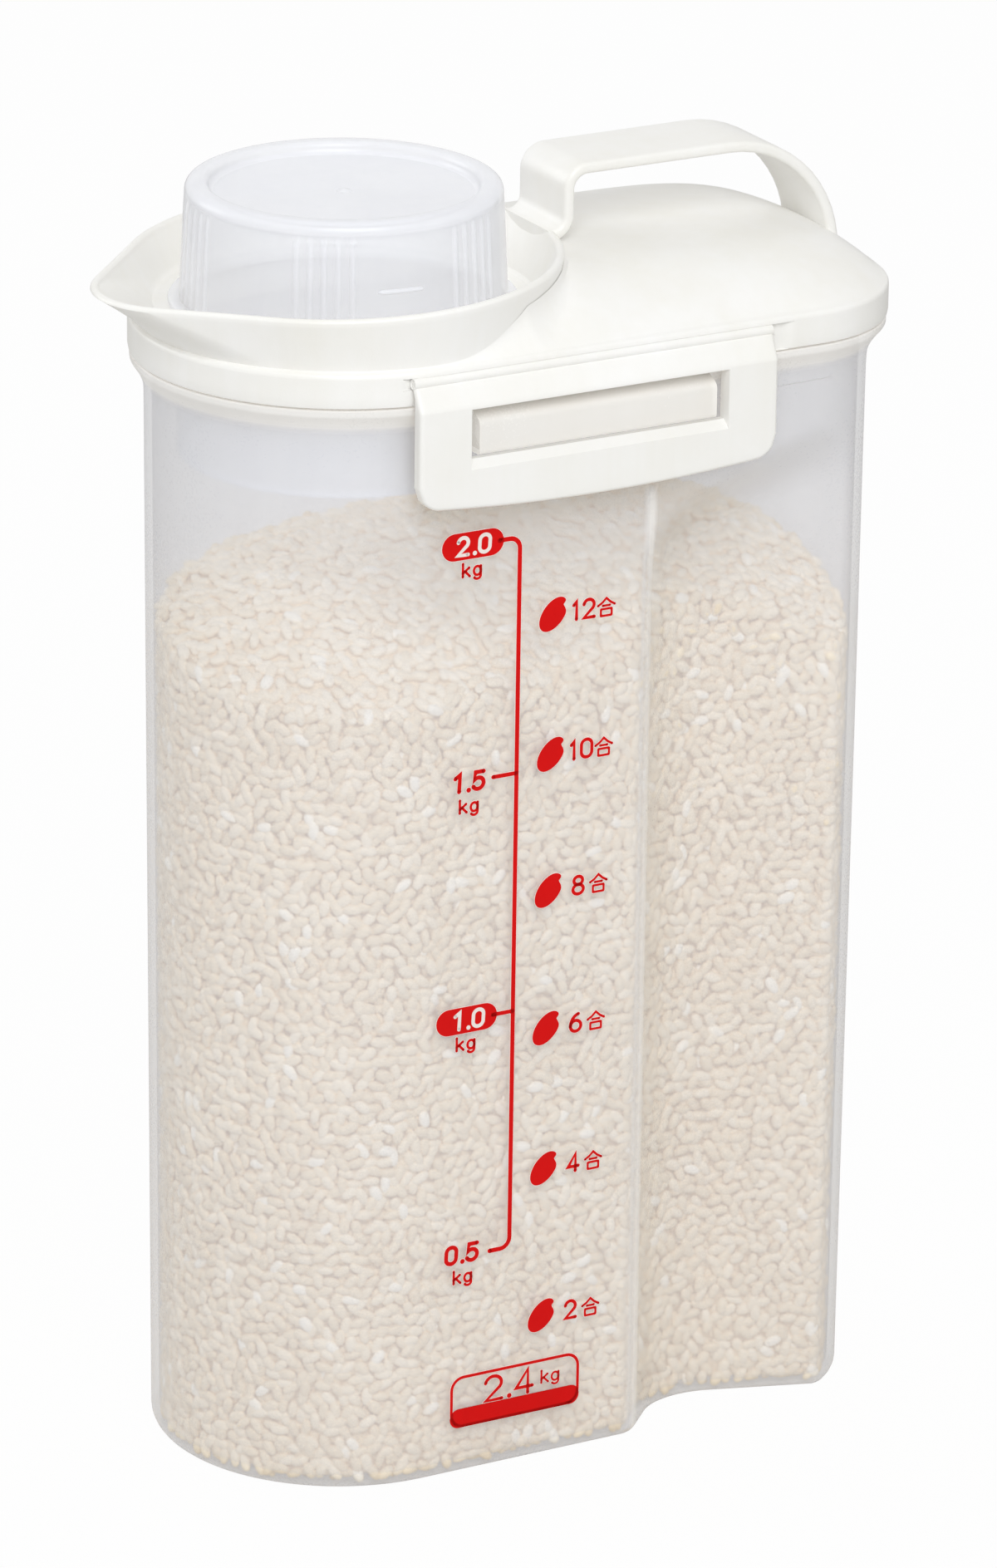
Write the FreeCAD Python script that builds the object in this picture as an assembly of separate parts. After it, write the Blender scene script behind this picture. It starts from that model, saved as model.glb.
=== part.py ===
import FreeCAD, Part
import math
import os

from FreeCAD import Vector

# Lid plan, in millimetres: half round at the front about the cup's axis, level sides, bowed rear.
lid_width = 94.0
lid_length = 172.0
rear_corner_radius = 30.0
rear_bow_radius = 110.0
spout_reach = 59.0

# Container.
body_height = 254.3
body_inset_top = 3.5
body_inset_base = 4.7
rear_setback = 1.1
wall = 1.8
base_thickness = 2.2
base_edge_radius = 4.0
base_inner_radius = 2.4
flange_height = 8.8
flange_lip_height = 1.9
flange_inset = 0.4
neck_rise = 3.2

# Hand grip on each side: two flanks that meet in a rounded floor, under a sloping roof.
grip_front_x = 20.0
grip_length = 64.0
grip_flank_angle = 45.0
grip_floor_angle = 19.0
grip_floor_radius = 18.6
grip_roof_drop = 32.3
grip_roof_angle = 19.0
grip_roof_radius = 8.0
grip_ridge_radius = 3.0

# Catch rib on each long side, which the clip's window drops over.
catch_length = 58.6
catch_height = 7.6
catch_drop = 4.1
catch_slope_height = 1.8
catch_back = 1.0

# Lid shell.
skirt_gap = 0.4
skirt_height = 7.8
skirt_wall = 2.6
shoulder_edge = 0.9
crown_height = 11.7
crown_side_power = 3.4
crown_rear_power = 6.0
crown_centre_x = 18.0
crown_shares = (1.0, 0.94, 0.84, 0.68, 0.45, 0.15)
dome_wall = 1.9
seat_thickness = 1.5
packing_height = 2.0
packing_clearance = 0.25
plug_clearance = 0.5
plug_wall = 1.3
plug_depth = 4.5
panel_depth = 1.0
panel_margin = 4.4

# Pour collar.
mouth_radius = 36.7
floor_rise = 2.5
floor_thickness = 1.8
collar_foot_radius = 45.6
collar_inner_foot_radius = 43.0
collar_rim_radius = 47.9
collar_wall = 2.0
collar_height = 13.0
collar_tilt = 0.03
collar_rim_round = 0.6
collar_foot_draw = 0.4
spout_tip_radius = 20.0

# Carry handle: a strap from the collar's rear rim to the rear of the lid.
strap_width = 21.0
strap_thickness = 2.6
strap_height = 28.8
strap_post_x = 17.3
strap_foot_radius = 4.2
strap_corner_radius = 4.6
strap_rear_x = 86.3
strap_rear_radius = 27.0

# Measuring cup, closed end up.
cup_height = 27.0
cup_top_radius = 34.6
cup_floor_radius = 35.8
cup_rim_radius = 36.3
cup_hang = 33.6
cup_wall = 1.4
cup_ring_width = 5.2
cup_ring_height = 2.6
cup_edge_round = 2.2
cup_bead = 1.5
cup_bead_height = 1.3

# Side clips, each with its hinge bar.
clip_centre_x = 3.2
clip_width = 88.4
clip_drop = 32.5
clip_thickness = 3.0
clip_clearance = 0.35
clip_face_drop = 8.5
clip_corner_radius = 5.0
clip_bow = 2.2
window_end_clearance = 2.1
window_low_clearance = 0.6
window_high_clearance = 1.2
window_chamfer = 1.2
hinge_bar_radius = 1.2
hinge_clearance = 0.05
hinge_end_clearance = 0.35
hinge_inset = 0.4
hinge_drop = 2.7
hinge_web_angles = (235.0, 274.0)
hinge_mouth_angles = (125.0, 278.0)
hinge_lip = 0.6
swing_room = 4.0

# How far cutting solids reach past what they cut, and how near a point has to be to lie on a face.
overrun = 6.0
on_face = 0.05

# Sizes and places worked out from those above.
lid_half_width = lid_width / 2
overall_length = lid_length + spout_reach - lid_half_width
cup_axis_x = spout_reach - overall_length / 2
lid_rear_x = overall_length / 2
skirt_bottom_z = body_height + skirt_gap
shoulder_z = skirt_bottom_z + skirt_height
neck_top_z = body_height + neck_rise
seat_z = neck_top_z + packing_height
floor_z = shoulder_z + floor_rise
collar_rim_z = shoulder_z + collar_height
strap_top_z = shoulder_z + strap_height
cup_top_z = floor_z + cup_height
grip_roof_z = body_height - grip_roof_drop
catch_bottom_z = body_height - catch_drop - catch_height
catch_top_z = body_height - catch_drop + catch_slope_height
clip_bottom_z = shoulder_z - clip_drop
clip_face_top_z = shoulder_z - clip_face_drop
window_width = catch_length + 2 * window_end_clearance
window_bottom_z = catch_bottom_z - window_low_clearance
window_top_z = catch_top_z + window_high_clearance
hinge_y = lid_half_width - hinge_inset
hinge_z = shoulder_z - hinge_drop
clip_inner_y = lid_half_width + clip_clearance
clip_outer_y = clip_inner_y + clip_thickness
body_side_y = lid_half_width - (body_inset_top + body_inset_base) / 2
panel_length = clip_width + 2 * panel_margin
neck_inner_inset = body_inset_top + wall
arc_middle_share = 1 - math.sqrt(0.5)


def moved(shape, x=0.0, y=0.0, z=0.0):
    """A copy of a shape, shifted."""
    copy = shape.copy()
    copy.translate(Vector(x, y, z))
    return copy


def mirrored(shape):
    """The same shape on the far side of the lengthwise middle plane."""
    return shape.mirror(Vector(0, 0, 0), Vector(0, 1, 0))


def arc(start, middle, end):
    return Part.Arc(start, middle, end).toShape()


def oval(half_width, axis_x, rear_x, corner, bow, z):
    """Closed plan outline: half round in front, level sides, two rounded corners and a bowed rear."""
    bow_x = rear_x - bow
    corner_y = half_width - corner
    corner_x = bow_x + math.sqrt((bow - corner) ** 2 - corner_y ** 2)
    reach_share = bow / (bow - corner)
    touch = Vector(bow_x + (corner_x - bow_x) * reach_share, corner_y * reach_share, z)
    turn = (math.pi / 2 + math.atan2(corner_y, corner_x - bow_x)) / 2
    middle = Vector(corner_x + corner * math.cos(turn), corner_y + corner * math.sin(turn), z)
    side_front = Vector(axis_x, half_width, z)
    side_rear = Vector(corner_x, half_width, z)
    rear = Vector(rear_x, 0, z)

    def far(point):
        return Vector(point.x, -point.y, point.z)

    edges = [
        arc(far(side_front), Vector(axis_x - half_width, 0, z), side_front),
        Part.makeLine(side_front, side_rear),
        arc(side_rear, middle, touch),
        arc(touch, rear, far(touch)),
        arc(far(touch), far(middle), far(side_rear)),
        Part.makeLine(far(side_rear), far(side_front)),
    ]
    return Part.Wire(edges)


def lid_oval(inset, z):
    """The lid's outline, drawn in by an even inset."""
    return oval(lid_half_width - inset, cup_axis_x, lid_rear_x - inset,
                rear_corner_radius - inset, rear_bow_radius - inset, z)


def body_oval(inset, z):
    """The container's outline: the lid's, drawn in, with the rear set further back."""
    return oval(lid_half_width - inset, cup_axis_x, lid_rear_x - inset - rear_setback,
                rear_corner_radius - inset, rear_bow_radius - inset, z)


def prism(wire, height):
    return Part.Face(wire).extrude(Vector(0, 0, height))


def stack(wires):
    """A solid with straight walls through outlines at rising heights."""
    return Part.makeLoft(wires, True, True)


def seal_ring(outer, inner_inset, height):
    """A flat ring from an outer outline in to one that follows the container's neck."""
    z = outer.BoundBox.ZMin
    return prism(outer, height).cut(prism(body_oval(inner_inset, z), height))


def edges_where(shape, test):
    """Edges whose every sampled point passes a test."""
    found = []
    for edge in shape.Edges:
        points = edge.discretize(5)
        if all(test(point) for point in points):
            found.append(edge)
    return found


def grip_plan(grow):
    """Plan of the near hand grip's hollow, with its walls moved into the container by grow."""
    flank = math.radians(grip_flank_angle)
    slope = math.radians(grip_floor_angle)
    front = grip_front_x - grow / math.sin(flank)
    rear = grip_front_x + grip_length + grow / math.sin(slope)
    radius = grip_floor_radius + grow
    peak_x = (front * math.tan(flank) + rear * math.tan(slope)) / (math.tan(flank) + math.tan(slope))
    peak = Vector(peak_x, (peak_x - front) * math.tan(flank), 0)
    reach = radius * math.tan((flank + slope) / 2)
    start = peak - Vector(math.cos(flank), math.sin(flank), 0) * reach
    end = peak + Vector(math.cos(slope), -math.sin(slope), 0) * reach
    centre = start + Vector(math.sin(flank), -math.cos(flank), 0) * radius
    to_peak = (peak - centre).normalize()
    middle = centre + to_peak * radius
    out = 2 * overrun
    first = Vector(front - out / math.tan(flank), -out, 0)
    last = Vector(rear + out / math.tan(slope), -out, 0)
    wire = Part.Wire([
        Part.makeLine(first, start),
        arc(start, middle, end),
        Part.makeLine(end, last),
        Part.makeLine(last, first),
    ])
    wire.translate(Vector(0, -body_side_y, 0))
    return wire


def grip_hollow(grow):
    """The near hand grip as a solid to cut away: its plan under a roof that rises to the rear."""
    plan = grip_plan(grow)
    slope = math.tan(math.radians(grip_roof_angle))
    lift = grow / math.cos(math.radians(grip_roof_angle))
    box = plan.BoundBox
    low_z = -overrun

    def roof(x):
        return grip_roof_z + lift + (x - grip_front_x) * slope

    profile = Part.makePolygon([
        Vector(box.XMin, box.YMin, low_z),
        Vector(box.XMax, box.YMin, low_z),
        Vector(box.XMax, box.YMin, roof(box.XMax)),
        Vector(box.XMin, box.YMin, roof(box.XMin)),
        Vector(box.XMin, box.YMin, low_z),
    ])
    under_roof = Part.Face(profile).extrude(Vector(0, box.YLength, 0))
    column = moved(prism(plan, 2 * body_height), z=low_z)
    hollow = column.common(under_roof)
    edge_y = box.YMin + overrun / 2

    def on_roof(point):
        return abs(point.z - roof(point.x)) < on_face

    roof_edges = [edge for edge in edges_where(hollow, on_roof)
                  if max(point.y for point in edge.discretize(5)) > edge_y]
    return hollow.makeFillet(grip_roof_radius + grow, roof_edges)


def container_form(inset, low_z, high_z, edge_radius):
    """The container's outside, or with an inset its inside, with both hand grips pressed in."""
    lean = (body_inset_base - body_inset_top) / body_height
    low = body_oval(body_inset_base + inset - lean * low_z, low_z)
    high = body_oval(body_inset_base + inset - lean * high_z, high_z)
    form = stack([low, high])
    hollow = grip_hollow(inset)
    form = form.cut(hollow).cut(mirrored(hollow))
    ridges = edges_where(form, lambda point: abs(point.x - grip_front_x) < overrun / 2)
    form = form.makeFillet(grip_ridge_radius - inset, ridges)
    base_edges = edges_where(form, lambda point: abs(point.z - low_z) < on_face)
    return form.makeFillet(edge_radius, base_edges)


def catch_rib():
    """The near catch rib: flat underneath, upright in front, sloped on top."""
    front_y = clip_outer_y - catch_back
    back_y = body_side_y - wall / 2
    lip_y = lid_half_width - flange_inset - catch_back
    slope_z = catch_top_z - catch_slope_height
    profile = Part.makePolygon([
        Vector(0, -back_y, catch_bottom_z),
        Vector(0, -front_y, catch_bottom_z),
        Vector(0, -front_y, slope_z),
        Vector(0, -lip_y, catch_top_z),
        Vector(0, -back_y, catch_top_z),
        Vector(0, -back_y, catch_bottom_z),
    ])
    rib = Part.Face(profile).extrude(Vector(catch_length, 0, 0))
    return moved(rib, x=clip_centre_x - catch_length / 2)


def container():
    outside = container_form(0.0, 0.0, neck_top_z, base_edge_radius)
    flange_low_z = body_height - flange_height
    lip_low_z = body_height - flange_lip_height
    flange = stack([
        body_oval(body_inset_top + wall / 2, flange_low_z),
        lid_oval(flange_inset, lip_low_z),
        lid_oval(flange_inset, body_height),
    ])
    rib = catch_rib()
    shape = outside.fuse([flange, rib, mirrored(rib)])
    inside = container_form(wall, base_thickness, neck_top_z + overrun, base_inner_radius)
    return shape.cut(inside).removeSplitter()


def crown(lower):
    """The lid's crowned top as a solid: ever smaller outlines on a curve that is fuller at the rear."""
    half_width = lid_half_width - shoulder_edge
    rear_reach = lid_rear_x - shoulder_edge - crown_centre_x
    wires = []
    for share in crown_shares:
        rear_share = share ** (crown_side_power / crown_rear_power)
        wires.append(oval(
            half_width * share,
            crown_centre_x + (cup_axis_x - crown_centre_x) * share,
            crown_centre_x + rear_reach * rear_share,
            (rear_corner_radius - shoulder_edge) * share,
            (rear_bow_radius - shoulder_edge) * share,
            shoulder_z + crown_height * (1 - share ** crown_side_power) - lower,
        ))
    return Part.makeLoft(wires, True, False)


def collar_outline(radius, tip_reach, tip_radius, z):
    """Closed outline round the cup's axis, drawn out in front to a rounded tip."""
    centre = Vector(cup_axis_x, 0, z)
    tip_x = tip_reach - tip_radius
    turn = math.acos((radius - tip_radius) / tip_x) if tip_x > 0 else math.pi / 2
    far = Vector(-math.cos(turn), math.sin(turn), 0)
    near = Vector(far.x, -far.y, 0)
    tip = centre - Vector(tip_x, 0, 0)
    return Part.Wire([
        arc(centre + near * radius, centre + Vector(radius, 0, 0), centre + far * radius),
        Part.makeLine(centre + far * radius, tip + far * tip_radius),
        arc(tip + far * tip_radius, tip - Vector(tip_radius, 0, 0), tip + near * tip_radius),
        Part.makeLine(tip + near * tip_radius, centre + near * radius),
    ])


def tilted(wire):
    """An outline turned about the cup's axis, so that it leans down towards the pour lip."""
    wire.rotate(Vector(cup_axis_x, 0, collar_rim_z), Vector(0, 1, 0), -math.degrees(math.atan(collar_tilt)))
    return wire


def collar_rim(inset, z):
    """The collar's rim with its pour lip, drawn in by an even inset."""
    return tilted(collar_outline(collar_rim_radius - inset, spout_reach - inset, spout_tip_radius - inset, z))


def collar_foot(radius, z):
    """The collar's near-round foot, drawn out a little in front."""
    return collar_outline(radius, radius + collar_foot_draw, radius - collar_foot_draw, z)


def collar_outside(above):
    """The collar's flaring form from foot to rim, filled, with an upright column above its rim."""
    wires = [
        collar_foot(collar_foot_radius, shoulder_z),
        collar_rim(0.0, collar_rim_z - collar_rim_round),
        collar_rim(collar_rim_round, collar_rim_z),
    ]
    if above > 0:
        wires.append(collar_rim(collar_rim_round, collar_rim_z + above))
    return stack(wires)


def pour_collar():
    mouth_inset = collar_wall - collar_rim_round
    inside = stack([
        collar_foot(collar_inner_foot_radius, floor_z),
        collar_rim(collar_wall, collar_rim_z - collar_rim_round),
        collar_rim(mouth_inset, collar_rim_z),
        collar_rim(mouth_inset, collar_rim_z + overrun),
    ])
    axis_foot = Vector(cup_axis_x, 0, shoulder_z)
    under = Part.makeCylinder(collar_inner_foot_radius, floor_rise - floor_thickness, axis_foot)
    mouth = Part.makeCylinder(mouth_radius, floor_rise + overrun, axis_foot)
    return collar_outside(0.0).cut(inside).cut(under).cut(mouth)


def hinge_mouth():
    """The sector by which the near hinge groove stands open, as a solid to cut away."""
    start, end = (math.radians(angle) for angle in hinge_mouth_angles)
    reach = hinge_bar_radius + swing_room
    points = [Vector(0, -hinge_y, hinge_z)]
    steps = 4
    for step in range(steps + 1):
        turn = start + (end - start) * step / steps
        points.append(Vector(0, -hinge_y + reach * math.cos(turn), hinge_z + reach * math.sin(turn)))
    points.append(points[0])
    length = clip_width + 2 * hinge_end_clearance
    mouth = Part.Face(Part.makePolygon(points)).extrude(Vector(length, 0, 0))
    return moved(mouth, x=clip_centre_x - length / 2)


def hinge_groove():
    """The round groove that holds the near clip's hinge bar, as a solid to cut away."""
    length = clip_width + 2 * hinge_end_clearance
    start = Vector(clip_centre_x - length / 2, -hinge_y, hinge_z)
    return Part.makeCylinder(hinge_bar_radius + hinge_clearance, length, start, Vector(1, 0, 0))


def hinge_panel():
    """The shallow flat panel in the near side of the skirt, under the hinge bar."""
    face_y = lid_half_width - panel_depth
    height = hinge_z - skirt_bottom_z + overrun
    corner = Vector(clip_centre_x - panel_length / 2, -face_y - overrun, skirt_bottom_z - overrun)
    return Part.makeBox(panel_length, overrun, height, corner)


def lid_shell():
    skirt_edge_z = shoulder_z - shoulder_edge
    skirt = stack([
        lid_oval(0.0, skirt_bottom_z),
        lid_oval(0.0, skirt_edge_z),
        lid_oval(shoulder_edge, shoulder_z),
    ])
    skirt = skirt.cut(prism(lid_oval(skirt_wall, skirt_bottom_z), skirt_height))
    dome = crown(0.0).cut(crown(dome_wall))
    plug_inset = neck_inner_inset + plug_clearance
    plug_inner = plug_inset + plug_wall
    seat = seal_ring(lid_oval(skirt_wall, seat_z), plug_inner, seat_thickness)
    plug = seal_ring(body_oval(plug_inset, seat_z - plug_depth), plug_inner, plug_depth)
    shape = skirt.fuse([dome.cut(collar_outside(crown_height)), seat, plug])
    pit_foot = Vector(cup_axis_x, 0, seat_z + seat_thickness)
    shape = shape.cut(Part.makeCylinder(collar_inner_foot_radius, floor_rise, pit_foot))
    for cutter in (hinge_groove(), hinge_mouth(), hinge_panel()):
        shape = shape.cut(cutter).cut(mirrored(cutter))
    return shape.removeSplitter()


def lid_packing():
    """The soft ring between the lid's seat and the container's neck."""
    outer = lid_oval(skirt_wall + packing_clearance, neck_top_z)
    return seal_ring(outer, neck_inner_inset + plug_clearance - packing_clearance, packing_height)


def rounded_path(points, radii):
    """A path of straight runs whose inner corners are rounded, in the lengthwise upright plane."""
    edges = []
    last = points[0]
    for before, corner, after, radius in zip(points, points[1:], points[2:], radii):
        back = (before - corner).normalize()
        ahead = (after - corner).normalize()
        half = back.getAngle(ahead) / 2
        reach = radius / math.tan(half)
        start = corner + back * reach
        end = corner + ahead * reach
        inward = (back + ahead).normalize()
        middle = corner + inward * (radius / math.sin(half) - radius)
        if (start - last).Length > on_face:
            edges.append(Part.makeLine(last, start))
        edges.append(arc(start, middle, end))
        last = end
    edges.append(Part.makeLine(last, points[-1]))
    return edges


def strap_profile():
    """The strap seen from the side: its top line, its underside and the two ends."""
    half = strap_thickness / 2
    foot_z = collar_rim_z + collar_tilt * collar_rim_radius - half
    foot_x = cup_axis_x + collar_rim_radius - collar_wall
    level = strap_top_z - half

    def line(side):
        shift = half * side
        points = [
            Vector(foot_x, 0, foot_z + shift),
            Vector(strap_post_x - shift, 0, foot_z + shift),
            Vector(strap_post_x - shift, 0, level + shift),
            Vector(strap_rear_x - half + shift, 0, level + shift),
            Vector(strap_rear_x - half + shift, 0, shoulder_z),
        ]
        radii = (strap_foot_radius - shift, strap_corner_radius + shift, strap_rear_radius + shift)
        return points, radii

    top_points, top_radii = line(1)
    low_points, low_radii = line(-1)
    edges = rounded_path(top_points, top_radii)
    edges.append(Part.makeLine(top_points[-1], low_points[-1]))
    edges.extend(rounded_path(low_points, low_radii))
    edges.append(Part.makeLine(low_points[0], top_points[0]))
    return Part.Wire(Part.__sortEdges__(edges))


def carry_handle():
    strap = Part.Face(strap_profile()).extrude(Vector(0, strap_width, 0))
    strap = moved(strap, y=-strap_width / 2)
    return strap.cut(collar_outside(overrun)).cut(crown(0.0))


def measuring_cup():
    """Turned about the cup's axis: ringed closed end, tapering wall, seating bead, open rim below."""
    disc_z = cup_top_z - cup_ring_height
    rim_z = floor_z - cup_hang
    bead_radius = mouth_radius + cup_bead
    bead_top_z = floor_z + cup_bead_height
    bead_edge_z = floor_z + cup_bead_height / 2
    half_ring = cup_ring_height / 2
    ring_step = cup_top_radius - cup_ring_width
    edge = cup_edge_round
    outer_edge = cup_top_radius - edge
    step_bend = half_ring * arc_middle_share
    edge_bend = edge * arc_middle_share

    def at(radius, z):
        return Vector(radius, 0, z)

    edges = [
        arc(at(ring_step - half_ring, disc_z), at(ring_step - step_bend, disc_z + step_bend),
            at(ring_step, disc_z + half_ring)),
        arc(at(ring_step, disc_z + half_ring), at(ring_step + step_bend, cup_top_z - step_bend),
            at(ring_step + half_ring, cup_top_z)),
        Part.makeLine(at(ring_step + half_ring, cup_top_z), at(outer_edge, cup_top_z)),
        arc(at(outer_edge, cup_top_z), at(cup_top_radius - edge_bend, cup_top_z - edge_bend),
            at(cup_top_radius, cup_top_z - edge)),
    ]
    rest = Part.makePolygon([
        at(cup_top_radius, cup_top_z - edge),
        at(cup_floor_radius, bead_top_z),
        at(bead_radius, bead_edge_z),
        at(bead_radius, floor_z),
        at(cup_floor_radius, floor_z),
        at(cup_rim_radius, rim_z),
        at(cup_rim_radius - cup_wall, rim_z),
        at(cup_floor_radius - cup_wall, floor_z),
        at(cup_top_radius - cup_wall, disc_z - cup_wall),
        at(0, disc_z - cup_wall),
        at(0, disc_z),
        at(ring_step - half_ring, disc_z),
    ])
    face = Part.Face(Part.Wire(edges + rest.Edges))
    turned = face.revolve(Vector(0, 0, 0), Vector(0, 0, 1), 360)
    return moved(turned, x=cup_axis_x)


def clip_outline():
    """Front view of the clip's plate: upright ends, rounded lower corners, a bowed lower edge."""
    left = clip_centre_x - clip_width / 2
    right = clip_centre_x + clip_width / 2
    top = shoulder_z
    low = clip_bottom_z + clip_bow
    corner = clip_corner_radius
    bend = corner * arc_middle_share

    def at(x, z):
        return Vector(x, 0, z)

    return Part.Wire([
        Part.makeLine(at(left, top), at(left, low + corner)),
        arc(at(left, low + corner), at(left + bend, low + bend), at(left + corner, low)),
        arc(at(left + corner, low), at(clip_centre_x, clip_bottom_z), at(right - corner, low)),
        arc(at(right - corner, low), at(right - bend, low + bend), at(right, low + corner)),
        Part.makeLine(at(right, low + corner), at(right, top)),
        Part.makeLine(at(right, top), at(left, top)),
    ])


def clip_window():
    """The clip's window as a solid to cut away, with an upward-facing slope on its lower edge."""
    inner = -clip_inner_y + overrun
    outer = -clip_outer_y - overrun
    face_y = -clip_outer_y
    profile = Part.makePolygon([
        Vector(0, inner, window_bottom_z),
        Vector(0, face_y + window_chamfer, window_bottom_z),
        Vector(0, outer, window_bottom_z - window_chamfer - overrun),
        Vector(0, outer, window_top_z),
        Vector(0, inner, window_top_z),
        Vector(0, inner, window_bottom_z),
    ])
    window = Part.Face(profile).extrude(Vector(window_width, 0, 0))
    return moved(window, x=clip_centre_x - window_width / 2)


def near_clip():
    """A plate with a sloping shoulder, hung by a thin web from a round hinge bar."""
    outer_turn, inner_turn = (math.radians(angle) for angle in hinge_web_angles)

    def on_bar(turn):
        out = Vector(0, math.cos(turn), math.sin(turn)) * hinge_bar_radius
        return Vector(0, -hinge_y, hinge_z) + out

    web_z = hinge_z - 2 * hinge_bar_radius - hinge_lip
    profile = Part.makePolygon([
        Vector(0, -hinge_y, hinge_z),
        on_bar(inner_turn),
        Vector(0, -clip_inner_y, web_z),
        Vector(0, -clip_inner_y, clip_bottom_z),
        Vector(0, -clip_outer_y, clip_bottom_z),
        Vector(0, -clip_outer_y, clip_face_top_z),
        on_bar(outer_turn),
        Vector(0, -hinge_y, hinge_z),
    ])
    left = clip_centre_x - clip_width / 2
    plate = moved(Part.Face(profile).extrude(Vector(clip_width, 0, 0)), x=left)
    front = Part.Face(clip_outline()).extrude(Vector(0, -clip_outer_y - overrun, 0))
    bar = Part.makeCylinder(hinge_bar_radius, clip_width, Vector(left, -hinge_y, hinge_z), Vector(1, 0, 0))
    return plate.common(front).cut(clip_window()).fuse(bar).removeSplitter()


os.makedirs("parts", exist_ok=True)
clip = near_clip()
nodes = {
    "container": container(),
    "lid_shell": lid_shell(),
    "pour_collar": pour_collar(),
    "carry_handle": carry_handle(),
    "lid_packing": lid_packing(),
    "measuring_cup": measuring_cup(),
    "near_clip": clip,
    "far_clip": mirrored(clip),
}
for name, shape in nodes.items():
    box = shape.BoundBox
    print(name, "solids", len(shape.Solids), "valid", shape.isValid(), "volume", round(shape.Volume),
          "x", round(box.XMin, 2), round(box.XMax, 2), "y", round(box.YMin, 2), round(box.YMax, 2),
          "z", round(box.ZMin, 2), round(box.ZMax, 2))
    shape.exportStep("parts/" + name + ".step")
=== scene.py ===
# %% [markdown]
# # A rice storage bin
# A tall kitchen bin for about two kilograms of rice: a cloudy container with a hand grip pressed into
# each side, a cream lid with a pour collar and a carry strap, two side clips, and a measuring cup that
# plugs the mouth. The solids come first, as a fixed frame. Everything below is laid over that frame.

# %% Load the solids
import math

import bpy
import numpy as np
from mathutils import Matrix, Vector


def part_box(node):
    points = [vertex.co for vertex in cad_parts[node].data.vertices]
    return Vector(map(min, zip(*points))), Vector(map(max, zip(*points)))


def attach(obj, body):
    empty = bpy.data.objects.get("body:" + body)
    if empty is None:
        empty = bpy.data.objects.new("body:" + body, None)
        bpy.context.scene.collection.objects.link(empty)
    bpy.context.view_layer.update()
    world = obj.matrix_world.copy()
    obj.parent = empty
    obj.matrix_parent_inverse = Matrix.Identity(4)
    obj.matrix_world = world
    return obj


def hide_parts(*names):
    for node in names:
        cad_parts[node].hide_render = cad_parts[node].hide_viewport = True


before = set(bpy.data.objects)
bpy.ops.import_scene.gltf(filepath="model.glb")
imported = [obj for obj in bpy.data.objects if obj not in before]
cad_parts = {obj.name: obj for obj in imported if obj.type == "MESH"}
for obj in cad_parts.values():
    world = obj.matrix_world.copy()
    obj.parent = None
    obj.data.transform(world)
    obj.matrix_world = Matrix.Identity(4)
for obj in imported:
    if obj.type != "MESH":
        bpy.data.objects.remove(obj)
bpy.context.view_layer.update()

MM = 0.001

# %% [markdown]
# ## The camera
# The photograph was taken from a little above, a third of the way round to the spout, through a long
# lens: upright edges hardly lean. A camera could be placed by eye, but four measured numbers (bearing,
# height angle, tilt and distance) hold it exactly, and a matrix built from them keeps its lens unshifted.

# %% Place the camera
bearing = math.radians(-29.145)
height_angle = math.radians(20.208)
tilt = math.radians(0.703)
distance = 1935.7
aim = Vector((7.0, 0.0, 146.1))
lens_pixels = 10402.0
photo_height = 1887.0
sensor_size = 36.0

back = Vector((math.sin(bearing) * math.cos(height_angle),
               -math.cos(bearing) * math.cos(height_angle),
               math.sin(height_angle)))
level_right = Vector((math.cos(bearing), math.sin(bearing), 0.0))
level_up = back.cross(level_right)
right = math.cos(tilt) * level_right + math.sin(tilt) * level_up
up = math.cos(tilt) * level_up - math.sin(tilt) * level_right
eye = (aim + back * distance) * MM

camera_data = bpy.data.cameras.new("portrait_camera")
camera_data.sensor_width = sensor_size
camera_data.lens = sensor_size * lens_pixels / photo_height
camera_data.clip_end = 20.0
camera = bpy.data.objects.new("portrait_camera", camera_data)
camera.matrix_world = Matrix.Translation(eye) @ Matrix((right, up, back)).transposed().to_4x4()
bpy.context.scene.collection.objects.link(camera)
bpy.context.scene.camera = camera
bpy.context.scene.view_settings.view_transform = "Standard"
print("eye", [round(value, 3) for value in eye], "lens", round(camera_data.lens, 2))

# %% [markdown]
# ## From arrays to meshes
# Every piece below is a grid of points worked out at once, so a few small helpers are enough: two write
# the faces between points, one puts points and faces into a mesh, and one makes the mesh a piece of the
# bin, with a finish and a body that it moves with.


# %% Faces between points
def grid_quads(rows, columns, ring_rows=False, ring_columns=True):
    """Quads between neighbouring rows and columns of a grid whose points are numbered row by row.
    A ring closes the last column, or row, on the first."""
    row = np.arange(rows if ring_rows else rows - 1)[:, None]
    column = np.arange(columns if ring_columns else columns - 1)[None, :]
    next_row = (row + 1) % rows * columns
    next_column = (column + 1) % columns
    row = row * columns
    quads = np.stack([row + column, row + next_column, next_row + next_column, next_row + column], axis=-1)
    return quads.reshape(-1, 4)


def fan(ring, middle, outward=True):
    """Triangles from each step of a ring of points to one middle point."""
    after = np.roll(ring, -1)
    centre = np.full_like(ring, middle)
    order = (ring, after, centre) if outward else (after, ring, centre)
    return np.stack(order, axis=-1)


print("three closed rows of eight points have", len(grid_quads(3, 8)), "quads")


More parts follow.
